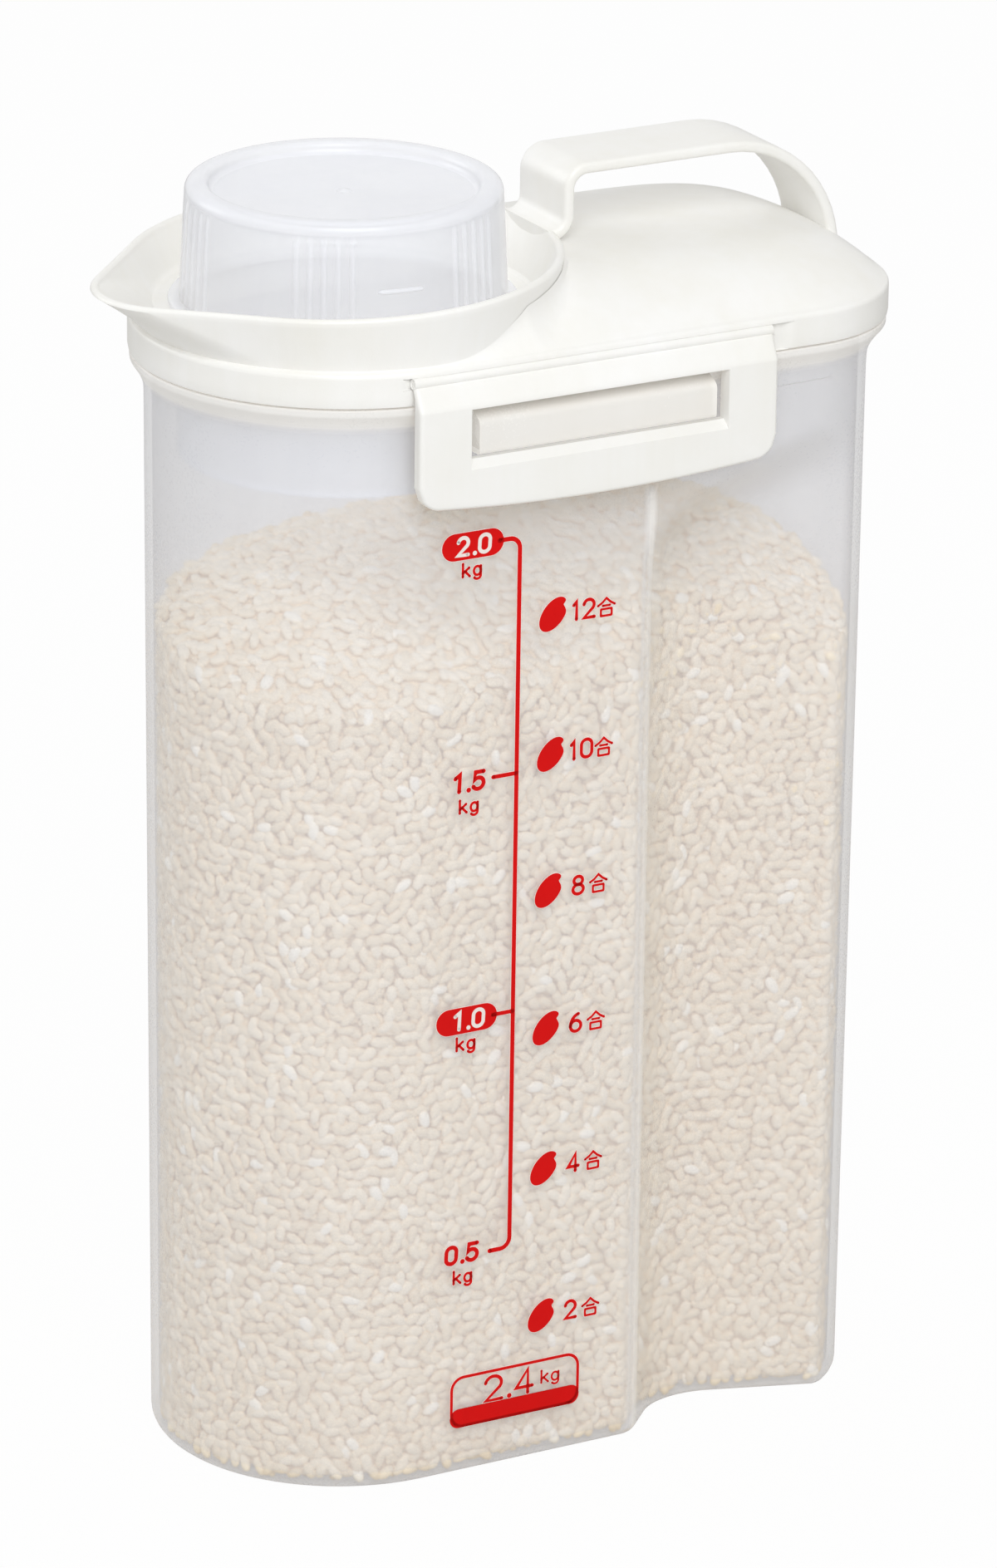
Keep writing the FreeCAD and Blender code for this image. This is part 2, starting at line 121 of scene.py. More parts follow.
# %% Meshes and pieces
def fill_mesh(name, points, *face_sets, crease=35.0):
    """A mesh from points in millimetres and arrays of quads or triangles, smooth but for sharp creases."""
    corners = np.concatenate([faces.ravel() for faces in face_sets])
    counts = np.concatenate([np.full(len(faces), faces.shape[1]) for faces in face_sets])
    starts = np.concatenate([[0], np.cumsum(counts)[:-1]])
    mesh = bpy.data.meshes.new(name)
    mesh.vertices.add(len(points))
    mesh.vertices.foreach_set("co", (np.asarray(points, float) * MM).astype(np.float32).ravel())
    mesh.loops.add(len(corners))
    mesh.loops.foreach_set("vertex_index", corners.astype(np.int32))
    mesh.polygons.add(len(counts))
    mesh.polygons.foreach_set("loop_start", starts.astype(np.int32))
    mesh.update(calc_edges=True)
    mesh.validate()
    mesh.shade_smooth()
    mesh.set_sharp_from_angle(angle=math.radians(crease))
    return mesh


def add_piece(mesh, material, body, slot, *nodes):
    """Make a mesh a piece of the bin: its finish, the body it rides on, the solids it stands for."""
    mesh.materials.append(material)
    piece = bpy.data.objects.new(mesh.name, mesh)
    bpy.context.scene.collection.objects.link(piece)
    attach(piece, body)
    if nodes:
        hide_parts(*nodes)
    spots = np.empty(3 * len(mesh.vertices), np.float32)
    mesh.vertices.foreach_get("co", spots)
    low, high = spots.reshape(-1, 3).min(axis=0), spots.reshape(-1, 3).max(axis=0)
    print(mesh.name, "faces", len(mesh.polygons), "box", np.round(low, 4).tolist(), np.round(high, 4).tolist())


# %% [markdown]
# ## Finishes
# All the plastics here are moulded polypropylene. Seen close, such a skin is never one flat colour: it
# has a fine satin grain from the mould, broad soft clouds where the melt flowed, and faint upright flow
# lines. One shader group makes those three from the piece's own coordinates, and each finish uses it with
# its own strengths. The shaders themselves stay in the materials.


# %% Nodes and links
def add_node(tree, kind, values=None, **settings):
    """Add a node, set its properties by name and its input sockets by name or number."""
    made = tree.nodes.new(kind)
    for name, value in settings.items():
        setattr(made, name, value)
    for socket, value in (values or {}).items():
        made.inputs[socket].default_value = value
    return made


def join(tree, *pairs):
    """Link output sockets to input sockets."""
    for source, target in pairs:
        tree.links.new(source, target)


print("node groups before dressing", len(bpy.data.node_groups))

# %% The moulded-skin group
skin = bpy.data.node_groups.new("moulded_skin", "ShaderNodeTree")
for socket, start in (("Grain Scale", 2600.0), ("Cloud Scale", 38.0), ("Flow Scale", 210.0)):
    skin.interface.new_socket(socket, in_out="INPUT", socket_type="NodeSocketFloat").default_value = start
for socket in ("Tone", "Gloss", "Height"):
    skin.interface.new_socket(socket, in_out="OUTPUT", socket_type="NodeSocketFloat")
skin_in = add_node(skin, "NodeGroupInput")
skin_out = add_node(skin, "NodeGroupOutput")
place = add_node(skin, "ShaderNodeTexCoord")
grain = add_node(skin, "ShaderNodeTexNoise", {"Detail": 2.0, "Roughness": 0.55})
cloud = add_node(skin, "ShaderNodeTexNoise", {"Detail": 3.0, "Roughness": 0.5})
stretch = add_node(skin, "ShaderNodeMapping", {"Scale": (1.0, 1.0, 0.06)})
flow = add_node(skin, "ShaderNodeTexNoise", {"Detail": 2.0, "Roughness": 0.6})
tone = add_node(skin, "ShaderNodeMix", {0: 0.3}, data_type="FLOAT")
gloss = add_node(skin, "ShaderNodeMix", {0: 0.45}, data_type="FLOAT")
height = add_node(skin, "ShaderNodeMix", {0: 0.2}, data_type="FLOAT")
join(skin,
     (place.outputs["Object"], grain.inputs["Vector"]), (skin_in.outputs["Grain Scale"], grain.inputs["Scale"]),
     (place.outputs["Object"], cloud.inputs["Vector"]), (skin_in.outputs["Cloud Scale"], cloud.inputs["Scale"]),
     (place.outputs["Object"], stretch.inputs["Vector"]), (stretch.outputs["Vector"], flow.inputs["Vector"]),
     (skin_in.outputs["Flow Scale"], flow.inputs["Scale"]),
     (cloud.outputs["Fac"], tone.inputs["A"]), (flow.outputs["Fac"], tone.inputs["B"]),
     (cloud.outputs["Fac"], gloss.inputs["A"]), (grain.outputs["Fac"], gloss.inputs["B"]),
     (grain.outputs["Fac"], height.inputs["A"]), (cloud.outputs["Fac"], height.inputs["B"]),
     (tone.outputs["Result"], skin_out.inputs["Tone"]),
     (gloss.outputs["Result"], skin_out.inputs["Gloss"]),
     (height.outputs["Result"], skin_out.inputs["Height"]))
print("group", skin.name, [item.name for item in skin.interface.items_tree])

# %% [markdown]
# A finish is then a few numbers: two tints that the clouds move between, a range of gloss, and how deep
# the grain lies. Tints are written as screen colours and turned into light.


# %% One maker for the opaque plastics
def tint(red, green, blue):
    """A screen colour of 0 to 255 as linear light."""
    screen = np.array([red, green, blue]) / 255.0
    light = np.where(screen <= 0.04045, screen / 12.92, ((screen + 0.055) / 1.055) ** 2.4)
    return (*light.tolist(), 1.0)


def spread(tree, source, low, high, narrow=0.32, wide=0.68):
    """A value that runs from low to high while its source runs over the middle of its range."""
    made = add_node(tree, "ShaderNodeMapRange",
                    {"From Min": narrow, "From Max": wide, "To Min": low, "To Max": high})
    tree.links.new(source, made.inputs["Value"])
    return made.outputs["Result"]


def skinned(name, dark, pale, gloss_range, depth, scales):
    """A moulded finish: tint between dark and pale by the clouds, gloss by grain and clouds, grain as bump."""
    material = bpy.data.materials.new(name)
    material.use_nodes = True
    tree = material.node_tree
    shader = tree.nodes["Principled BSDF"]
    group = add_node(tree, "ShaderNodeGroup", node_tree=skin)
    for socket, value in zip(("Grain Scale", "Cloud Scale", "Flow Scale"), scales):
        group.inputs[socket].default_value = value
    colour = add_node(tree, "ShaderNodeMix", {6: dark, 7: pale}, data_type="RGBA")
    bump = add_node(tree, "ShaderNodeBump", {"Strength": 0.5, "Distance": depth})
    join(tree,
         (spread(tree, group.outputs["Tone"], 0.0, 1.0), colour.inputs[0]),
         (colour.outputs[2], shader.inputs["Base Color"]),
         (spread(tree, group.outputs["Gloss"], *gloss_range), shader.inputs["Roughness"]),
         (group.outputs["Height"], bump.inputs["Height"]),
         (bump.outputs["Normal"], shader.inputs["Normal"]))
    shader.inputs["IOR"].default_value = 1.49
    return material, shader


skin_scales = (2600.0, 38.0, 210.0)
cream = skinned(
    "cream_plastic", tint(243, 241, 235), tint(248, 247, 245), (0.28, 0.40), 0.00005, skin_scales)[0]
rubber = skinned(
    "seal_rubber", tint(224, 223, 218), tint(234, 233, 228), (0.55, 0.72), 0.00010, (1800.0, 60.0, 90.0))[0]
print("finishes", cream.name, rubber.name)

# %% [markdown]
# Container and cup are cloudy and let things show through. Glass with a rough inside would blur all that
# lies behind, but these walls are thin and lie close to what they cover, so they only veil it. The veil is
# an alpha: low where one looks straight through the wall, high where one looks along it, because there the
# way through the plastic is longer. An attribute on the mesh adds to it where the plastic is thick, as in
# a flange or a rib. Rays that carry light meet less of it, because cloudy plastic passes light on. A second
# attribute makes flange and ridge paler. This is partly real, because thick plastic scatters more light back,
# and partly painted light: it lifts the flange out of the shade under the lid's skirt and paints a bright
# line down the ridge.


# %% Cloudy finishes
def veiled(shader, straight, edge, power, passing_share):
    """Alpha from straight to edge by a power of how far the surface turns away, raised by the veil attribute.
    Rays that carry light, for shadows and between surfaces, meet only a share of it."""
    tree = shader.id_data
    facing = add_node(tree, "ShaderNodeLayerWeight", {"Blend": 0.5})
    steep = add_node(tree, "ShaderNodeMath", {1: power}, operation="POWER")
    veil = add_node(tree, "ShaderNodeMapRange", {"To Min": straight, "To Max": edge})
    thick = add_node(tree, "ShaderNodeAttribute", attribute_name="veil")
    fuller = add_node(tree, "ShaderNodeMix", {"B": 1.0}, data_type="FLOAT")
    ray = add_node(tree, "ShaderNodeLightPath")
    carries_light = add_node(tree, "ShaderNodeMath", operation="MAXIMUM")
    passing = add_node(tree, "ShaderNodeMapRange", {"To Min": 1.0, "To Max": passing_share})
    seen = add_node(tree, "ShaderNodeMath", operation="MULTIPLY")
    join(tree,
         (facing.outputs["Facing"], steep.inputs[0]), (steep.outputs["Value"], veil.inputs["Value"]),
         (thick.outputs["Fac"], fuller.inputs["Factor"]), (veil.outputs["Result"], fuller.inputs["A"]),
         (ray.outputs["Is Shadow Ray"], carries_light.inputs[0]),
         (ray.outputs["Is Diffuse Ray"], carries_light.inputs[1]),
         (carries_light.outputs["Value"], passing.inputs["Value"]),
         (fuller.outputs["Result"], seen.inputs[0]), (passing.outputs["Result"], seen.inputs[1]),
         (seen.outputs["Value"], shader.inputs["Alpha"]))


def paled_by_thickness_and_painted_light(shader, pale_tint):
    """The finish's own colour, moved towards a pale tint by the pale attribute: partly the whiter look of thick
    plastic, partly painted light.
    """
    tree = shader.id_data
    colour = shader.inputs["Base Color"].links[0].from_socket
    amount = add_node(tree, "ShaderNodeAttribute", attribute_name="pale")
    paler = add_node(tree, "ShaderNodeMix", {7: pale_tint}, data_type="RGBA")
    join(tree, (amount.outputs["Fac"], paler.inputs[0]), (colour, paler.inputs[6]),
         (paler.outputs[2], shader.inputs["Base Color"]))


cloudy_scales = (1500.0, 26.0, 160.0)
wall_finish, wall_shader = skinned(
    "cloudy_wall", tint(219, 219, 225), tint(228, 228, 233), (0.24, 0.34), 0.00002, cloudy_scales)
veiled(wall_shader, 0.36, 0.62, 4.0, 0.03)
paled_by_thickness_and_painted_light(wall_shader, tint(255, 252, 247))
# The catch ribs are the wall's own plastic, but they get a paler copy of its finish. That paler tint is painted
# light, which lifts them out of the shade under the clip's window frame. Their higher veil stands for their
# thickness.
rib_painted_light_finish, rib_painted_light_shader = skinned(
    "cloudy_rib_painted_light", tint(251, 247, 240), tint(254, 251, 246), (0.20, 0.30), 0.00002, cloudy_scales)
veiled(rib_painted_light_shader, 0.70, 0.90, 2.0, 0.10)
cup_plastic, cup_shader = skinned(
    "cup_plastic", tint(241, 242, 249), tint(247, 248, 253), (0.16, 0.26), 0.00001, skin_scales)
veiled(cup_shader, 0.38, 0.85, 3.0, 0.02)
print("cloudy finishes", wall_finish.name, rib_painted_light_finish.name, cup_plastic.name)

# %% [markdown]
# ## The plan outline
# Container, flange, skirt and lid all share one plan: half round in front about the cup's axis, straight
# sides, two rounded rear corners and a gently bowed rear. One function gives it for any inset, as whole
# rows of points, counter-clockwise from the middle of the rear, so that surfaces built on it line up.

# %% Outline of bin and lid
lid_low, lid_high = (np.array(corner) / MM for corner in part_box("lid_shell"))
half_width = lid_high[1]
rear_x = lid_high[0]
axis_x = lid_low[0] + half_width
corner_radius = 30.0
bow_radius = 110.0
rear_setback = 1.1

bow_step = np.linspace(0.0, 1.0, 8, endpoint=False)
corner_step = np.linspace(0.0, 1.0, 30, endpoint=False)
side_step = np.linspace(0.0, 1.0, 90, endpoint=False)
front_step = np.linspace(0.0, 1.0, 45)


def outline(width, front, rear, corner, bow):
    """Half the plan is an arc of the bowed rear, a corner arc tangent to it, a straight side and a quarter
    round; the other half is its mirror image. Each argument may hold one value per row."""
    width, front, rear, corner, bow = (
        np.reshape(value, (-1, 1)) for value in np.broadcast_arrays(width, front, rear, corner, bow))
    bow_x = rear - bow
    corner_y = width - corner
    corner_x = bow_x + np.sqrt((bow - corner) ** 2 - corner_y ** 2)
    touch = np.arctan2(corner_y, corner_x - bow_x)
    bow_turn = touch * bow_step
    corner_turn = touch + (np.pi / 2 - touch) * corner_step
    front_turn = np.pi / 2 * (1.0 + front_step)
    x = np.concatenate([bow_x + bow * np.cos(bow_turn), corner_x + corner * np.cos(corner_turn),
                        corner_x + (front - corner_x) * side_step, front + width * np.cos(front_turn)], axis=1)
    y = np.concatenate([bow * np.sin(bow_turn), corner_y + corner * np.sin(corner_turn),
                        np.broadcast_to(width, (len(width), len(side_step))), width * np.sin(front_turn)], axis=1)
    y[:, -1] = 0.0
    x = np.concatenate([x, x[:, -2:0:-1]], axis=1)
    y = np.concatenate([y, -y[:, -2:0:-1]], axis=1)
    return x, y


def bin_outline(inset, setback=1.0):
    """The lid's plan drawn in by an inset, with the rear set back for the container."""
    inset = np.asarray(inset, float)
    return outline(half_width - inset, axis_x, rear_x - inset - setback * rear_setback,
                   corner_radius - inset, bow_radius - inset)


columns = bin_outline(0.0)[0].shape[1]
print("outline", columns, "points, half width", round(half_width, 2), "axis", round(axis_x, 2))

# %% [markdown]
# ## The hand grips
# Behind the flat panel with the scale, each side of the container is pressed in for the hand: a steep
# flank, a rounded floor and a long gentle slope to the rear, under a roof that rises backwards. A boolean
# would leave hard seams, so the grip is worked out as a depth below the side and taken off the outline,
# with its ridge eased by a parabola.

# %% Depth of the hand grip
grip_front = 20.0
grip_length = 64.0
flank_angle = math.radians(45.0)
slope_angle = math.radians(19.0)
grip_floor_radius = 18.6


def grip_floor(x, grow):
    """Depth of the grip behind the side at a place along the length: flank line, floor arc tangent to both
    lines, rear line. Growing moves all three into the container by the same thickness."""
    front = grip_front - grow / math.sin(flank_angle)
    rear = grip_front + grip_length + grow / math.sin(slope_angle)
    radius = grip_floor_radius + grow
    flank, slope = math.tan(flank_angle), math.tan(slope_angle)
    peak = (front * flank + rear * slope) / (flank + slope)
    reach = radius * math.tan((flank_angle + slope_angle) / 2)
    start = peak - reach * math.cos(flank_angle)
    end = peak + reach * math.cos(slope_angle)
    middle_x = start + radius * math.sin(flank_angle)
    middle_y = (start - front) * flank - radius * math.cos(flank_angle)
    floor = middle_y + np.sqrt(np.maximum(radius ** 2 - (x - middle_x) ** 2, 0.0))
    return np.where(x < start, (x - front) * flank, np.where(x > end, (rear - x) * slope, floor))


print("grip depth at its floor", round(float(grip_floor(np.array([44.0]), 0.0)[0]), 2))

# %% Pressing the grips in
body_height = 254.3
inset_top = 3.5
inset_base = 4.7
side_y = half_width - (inset_top + inset_base) / 2
grip_roof_z = 222.0
roof_slope = math.tan(math.radians(19.0))
roof_fade = 20.0


def eased(depth, ease):
    """Nothing below -ease, the depth itself above +ease, and a parabola between."""
    return np.where(depth < -ease, 0.0, np.where(depth > ease, depth, (depth + ease) ** 2 / (4 * ease)))


def press_grips(x, y, z, grow, ease):
    """Push both long sides in where the grips are. Under the roof the depth fades out in one smooth step."""
    roof = grip_roof_z + grow + (x - grip_front) * roof_slope
    share = np.clip((roof - z) / roof_fade, 0.0, 1.0)
    floor = grip_floor(x, grow)
    floor = np.where(floor > 0.0, floor * share * share * (3.0 - 2.0 * share), floor)
    depth = eased(np.abs(y) - side_y + floor, ease)
    return np.sign(y) * (np.abs(y) - depth)


def lean(z):
    """Inset of the container's side at a height: it narrows a little towards the base."""
    return inset_base + (inset_top - inset_base) * np.asarray(z, float) / body_height


print("inset at base and rim", float(lean(0.0)), round(float(lean(body_height)), 2))

# %% [markdown]
# ## The container
# The real one is a single moulding with a wall of about two millimetres. It could be one skin with a
# Solidify modifier, but the flange, the neck and the rounded base differ inside and out. So the surface
# is one long strip of rows: out from the middle of the base, up the outside, over the flange and neck,
# down the inside and back to the middle of the floor. Near the grip's roof the rows slope with it.

# %% Rows of the wall
grip_reach = 56.0
base_round = 4.0
level_top = 150.0
tilt_run = 52.0
rows_top = 244.5


def wall_rows(grow, low_z, edge_round):
    """Rows of one side of the wall, from the base edge up to the flange: inset, height, share of the roof's
    tilt and thickness grown, one line per row."""
    turn = np.linspace(0.0, np.pi / 2, 7)
    roof_z = grip_roof_z + grow
    fade_z = roof_z - roof_fade
    z = np.concatenate([low_z + edge_round * (1 - np.cos(turn)),
                        np.linspace(low_z + edge_round + 5.0, level_top, 17),
                        np.linspace(level_top + 5.0, fade_z - 2.0, 12),
                        np.linspace(fade_z - 1.0, roof_z + 1.0, 18),
                        np.linspace(roof_z + 2.5, rows_top, 8)])
    edge = np.concatenate([edge_round * (1 - np.sin(turn)), np.zeros(len(z) - len(turn))])
    slope = np.clip((z - level_top) / tilt_run, 0.0, 1.0)
    slope = slope * slope * (3.0 - 2.0 * slope)
    above = np.clip((rows_top + 1.0 - z) / (rows_top - roof_z), 0.0, 1.0)
    slope = np.where(z > roof_z + 1.0, above, slope)
    return lean(z) + grow + edge, z, slope, grow + edge


def wall_points(inset, z, slope, grow, ease=1.25):
    """Points of rows of the wall: the outline at each inset, lifted along the roof's slope, grips pressed in."""
    x, y = bin_outline(inset)
    along = np.clip(x, grip_front, grip_front + grip_reach) - grip_front
    z = z[:, None] + slope[:, None] * roof_slope * along
    y = press_grips(x, y, z, grow[:, None], ease)
    return np.stack([x, y, z], axis=-1)


outside = wall_points(*wall_rows(0.0, 0.0, base_round))
print("rows up the outside", len(outside))

# %% Flange and neck
neck_z = 257.5
flange_foot = 245.6
flange_rise = 6.8
flange_inset = 0.7
flare_power = 1.8


def at_heights(x, y, z):
    """Rows of points from rows in plan and one height for each row."""
    return np.stack([x, y, np.broadcast_to(np.array(z, float)[:, None], x.shape)], axis=-1)


def rim_points(inset, z, setback):
    """Points of rows above the grips, from insets, heights and rear setbacks."""
    return at_heights(*bin_outline(np.array(inset), np.array(setback)), z)


flare = np.linspace(0.0, 1.0, 9)
flared = flare ** flare_power
flange = rim_points(
    np.concatenate([inset_top - (inset_top - flange_inset) * flared, [0.45, 0.4, 0.4, flange_inset, 3.2]]),
    np.concatenate([flange_foot + flange_rise * flare, [252.8, 253.2, 254.0, body_height, body_height]]),
    np.concatenate([1.0 - flared, [0.0, 0.0, 0.0, 0.0, 1.0]]))
neck = rim_points([3.5, 3.5, 3.8, 5.0, 5.3], [254.5, 257.2, neck_z, neck_z, 257.2], [1.0] * 5)
print("flange from", flange_foot, "to", body_height, "and neck up to", neck_z)

# %% The container's surface
wall = 1.8
floor_z = 2.2
inner_round = 2.4
inner_ease = 0.7
base_middle_x = 6.0


def towards_middle(row, shares):
    """Rows inside a closed row: the row drawn in to a point, by shares of its size."""
    middle = np.array([base_middle_x, 0.0, row[0, 2]])
    return middle + (row - middle) * np.array(shares)[:, None, None]


def capped(name, points, columns, inside_out=False):
    """A mesh of closed rows of points: quads between the rows, and at both ends a fan to a pole. The two poles
    are the last points. Rows that run the other way round are turned."""
    rows = (len(points) - 2) // columns
    first, last = np.arange(columns), np.arange(columns) + (rows - 1) * columns
    quads = grid_quads(rows, columns)
    fans = [fan(first, len(points) - 2, outward=inside_out), fan(last, len(points) - 1, outward=not inside_out)]
    return fill_mesh(name, points, quads[:, ::-1] if inside_out else quads, np.concatenate(fans))


inside = wall_points(*wall_rows(wall, floor_z, inner_round), ease=inner_ease)[::-1]
container_rows = np.concatenate([
    towards_middle(outside[0], (0.35, 0.7)), outside, flange, neck, inside,
    towards_middle(inside[-1], (0.7, 0.35))])
points = np.concatenate([container_rows.reshape(-1, 3), [[base_middle_x, 0, 0], [base_middle_x, 0, floor_z]]])
container_mesh = capped("container_shell", points, columns)
print("container", len(container_rows), "rows of", columns, "points")


# %% Where the container is thick
def mark(mesh, name, values):
    """Keep one value per point on a mesh, for a finish to read."""
    kept = mesh.attributes.new(name, "FLOAT", "POINT")
    kept.data.foreach_set("value", np.asarray(values, np.float32).ravel())


lip_z, lip_fade = 248.5, 1.5
ridge_x, ridge_half = grip_front + 0.7, 0.85
ridge_y, ridge_top = 38.0, 226.0
base_fade = 3.0
lip_share = np.clip((points[:, 2] - lip_z) / lip_fade, 0.0, 1.0)
beside_grip = (np.abs(points[:, 1]) > ridge_y) * (points[:, 2] < ridge_top)
ridge_share = np.exp(-((points[:, 0] - ridge_x) / ridge_half) ** 2) * beside_grip
base_share = np.clip(1.0 - points[:, 2] / base_fade, 0.0, 1.0)
# The pale values: the flange is paler partly for its thick plastic and partly as painted light against the shade
# under the skirt; the ridge's pale line is a painted highlight.
mark(container_mesh, "veil", 0.60 * lip_share + 0.85 * ridge_share + 0.40 * base_share)
mark(container_mesh, "pale", 0.90 * lip_share + ridge_share)
add_piece(container_mesh, wall_finish, "container", "milky_plastic", "container")

# %% [markdown]
# On each long side, under the flange, a catch rib stands out for the clip's window to drop over. It is a
# straight bar, flat underneath and sloped on top, so a rounded section carried along its length makes it.


# %% Bars with a rounded section
def rounded_section(corners, radius, steps=5):
    """A closed section from corner points in order, each corner replaced by a short curve: a quadratic
    through the points that lie a radius before and after it."""
    corners = np.array(corners, float)
    before = np.roll(corners, 1, axis=0) - corners
    after = np.roll(corners, -1, axis=0) - corners
    radius = np.broadcast_to(np.asarray(radius, float), (len(corners),))[:, None]
    start = corners + before / np.linalg.norm(before, axis=1, keepdims=True) * radius
    end = corners + after / np.linalg.norm(after, axis=1, keepdims=True) * radius
    t = np.linspace(0.0, 1.0, steps)[None, :, None]
    curve = (1 - t) ** 2 * start[:, None] + 2 * t * (1 - t) * corners[:, None] + t ** 2 * end[:, None]
    return curve.reshape(-1, 2)


def bar(name, section, x_low, x_high, round_ends):
    """A section in Y and Z carried along X, drawn in towards its middle at both ends to round them."""
    middle = section.mean(axis=0)
    turn = np.linspace(0.0, np.pi / 2, 4)
    inward = round_ends * (1 - np.sin(turn))
    span = np.concatenate([x_low + inward, x_high - inward[::-1]])
    drawn = round_ends * (1 - np.cos(turn[::-1]))
    drawn = np.concatenate([drawn, drawn[::-1]])
    away = section - middle
    size = np.linalg.norm(away, axis=1, keepdims=True)
    ring_points = middle + away[None] * np.maximum(1 - drawn[:, None, None] / size[None], 0.2)
    x = np.broadcast_to(span[:, None, None], ring_points.shape[:2] + (1,))
    body = np.concatenate([x, ring_points], axis=-1).reshape(-1, 3)
    ends = np.array([[x_low, *middle], [x_high, *middle]])
    return capped(name, np.concatenate([body, ends]), len(section))


print("points round a square", len(rounded_section(((0, 0), (1, 0), (1, 1), (0, 1)), 0.1)))

# %% The catch ribs
clip_middle_x = 3.2
catch_length = 58.6
catch_corners = ((-42.2, 242.6), (-49.35, 242.6), (-49.35, 250.2), (-45.6, 252.0), (-42.2, 252.0))
catch_rounds = (0.1, 0.9, 1.1, 0.5, 0.1)
catch_end_round = 0.8
for side, side_name in ((1, "near"), (-1, "far")):
    section = rounded_section(catch_corners, catch_rounds) * (side, 1.0)
    rib_mesh = bar("catch_rib_" + side_name, section[::-side], clip_middle_x - catch_length / 2,
                   clip_middle_x + catch_length / 2, catch_end_round)
    # The paler rib finish is painted light against the shade of the clip.
    add_piece(rib_mesh, rib_painted_light_finish, "container", "milky_plastic")

# %% [markdown]
# ## The lid
# The skirt, the rounded shoulder and the crowned top are one cream moulding. The crown falls off slowly
# over the length and faster towards the sides and the rear. Its rows run from the shoulder in to the foot
# of the pour collar along straight lines seen from above, so nothing has to be cut out.

# %% Crown height
shoulder_z = 262.5
shoulder_edge = 0.9
crown_height = 11.7
crown_middle_x = 18.0
side_power = 3.4
rear_power = 6.0


def crown(x, y):
    """Height of the crowned top above the shoulder: one minus a power of the distance from the middle line
    and a higher power of the distance towards the rear. In front the same height lies on the half rounds
    that shrink towards the crown's middle, which a quadratic gives."""
    reach = half_width - shoulder_edge
    draw = crown_middle_x - axis_x
    ahead = crown_middle_x - x
    side = np.abs(y) / reach
    bend = draw ** 2 - reach ** 2
    root = np.sqrt(np.maximum((draw * ahead) ** 2 - bend * (ahead ** 2 + y ** 2), 0.0))
    side = np.where(ahead > draw * side, (draw * ahead - root) / bend, side) ** side_power
    rear = (np.maximum(x - crown_middle_x, 0.0) / (rear_x - shoulder_edge - crown_middle_x)) ** rear_power
    return crown_height * (1.0 - side - rear)


print("crown at the rear third", round(float(crown(np.array([60.0]), np.array([0.0]))[0]), 2))

# %% Rows of the crown
collar_foot = 45.6
collar_flare = 2.3
collar_rise = 12.2
collar_power = 1.15
hollow_least, hollow_most = 0.01, 7.0
hollow_rise_share, hollow_room_share = 0.75, 0.85
collar_overlap = 0.15
settle_power = 6


def crown_rows(shares, lower):
    """Rows of the crown between the shoulder and the collar. Each column is a straight line, in plan, from
    the shoulder towards the cup's axis; a share of it is covered at each row. A round hollow, as large as the
    collar's height and the room beside it allow, leads up to the collar."""
    edge_x, edge_y = bin_outline(shoulder_edge, 0.0)
    reach = np.hypot(edge_x - axis_x, edge_y)
    to_x, to_y = (edge_x - axis_x) / reach, edge_y / reach
    beside = np.maximum(crown(axis_x + collar_foot * to_x, collar_foot * to_y), 0.0)
    room = np.minimum(hollow_rise_share * (collar_rise - beside), hollow_room_share * (reach - collar_foot))
    hollow = np.clip(room, hollow_least, hollow_most)
    foot = collar_foot + collar_flare * ((beside + hollow) / collar_rise) ** collar_power - collar_overlap
    share = np.array(shares)[:, None]
    away = foot + (reach - foot) * share
    x, y = axis_x + away * to_x, away * to_y
    rise = crown(x, y) - crown(edge_x, edge_y) * share ** settle_power
    near = np.clip(hollow - (away - foot), 0.0, hollow)
    blend = hollow - np.sqrt(hollow ** 2 - near ** 2)
    return np.stack([x, y, shoulder_z + np.maximum(rise, 0.0) + blend - lower], axis=-1)


crown_outer = crown_rows(1.0 - np.linspace(0.0, 1.0, 46)[1:] ** 0.9, 0.0)
print("crown rises", round(float(np.ptp(crown_outer[..., 2])), 2), "mm above the shoulder")

# %% The lid shell
skirt_low = lid_low[2]
panel_x = (-45.4, 51.8)
groove_x = (-41.4, 47.8)
panel_y = half_width - 1.0
groove_y = half_width - 2.0
shoulder_round = 1.2
lid_wall = 1.9


def between(x, low, high, soft=0.6):
    """One between two places along the length and zero outside, with a short soft step."""
    return np.clip((x - low) / soft + 0.5, 0.0, 1.0) * np.clip((high - x) / soft + 0.5, 0.0, 1.0)


def skirt_rows(inset, z, in_panel, in_groove):
    """Rows of the skirt: the outline, with the flat hinge panel and the hinge groove taken off both sides."""
    x, y = bin_outline(np.array(inset, float), 0.0)
    panel = np.array(in_panel, float)[:, None] * between(x, *panel_x)
    groove = np.array(in_groove, float)[:, None] * between(x, *groove_x)
    size = np.minimum(np.abs(y), half_width - (half_width - panel_y) * panel - (panel_y - groove_y) * groove)
    return at_heights(x, np.sign(y) * size, z)


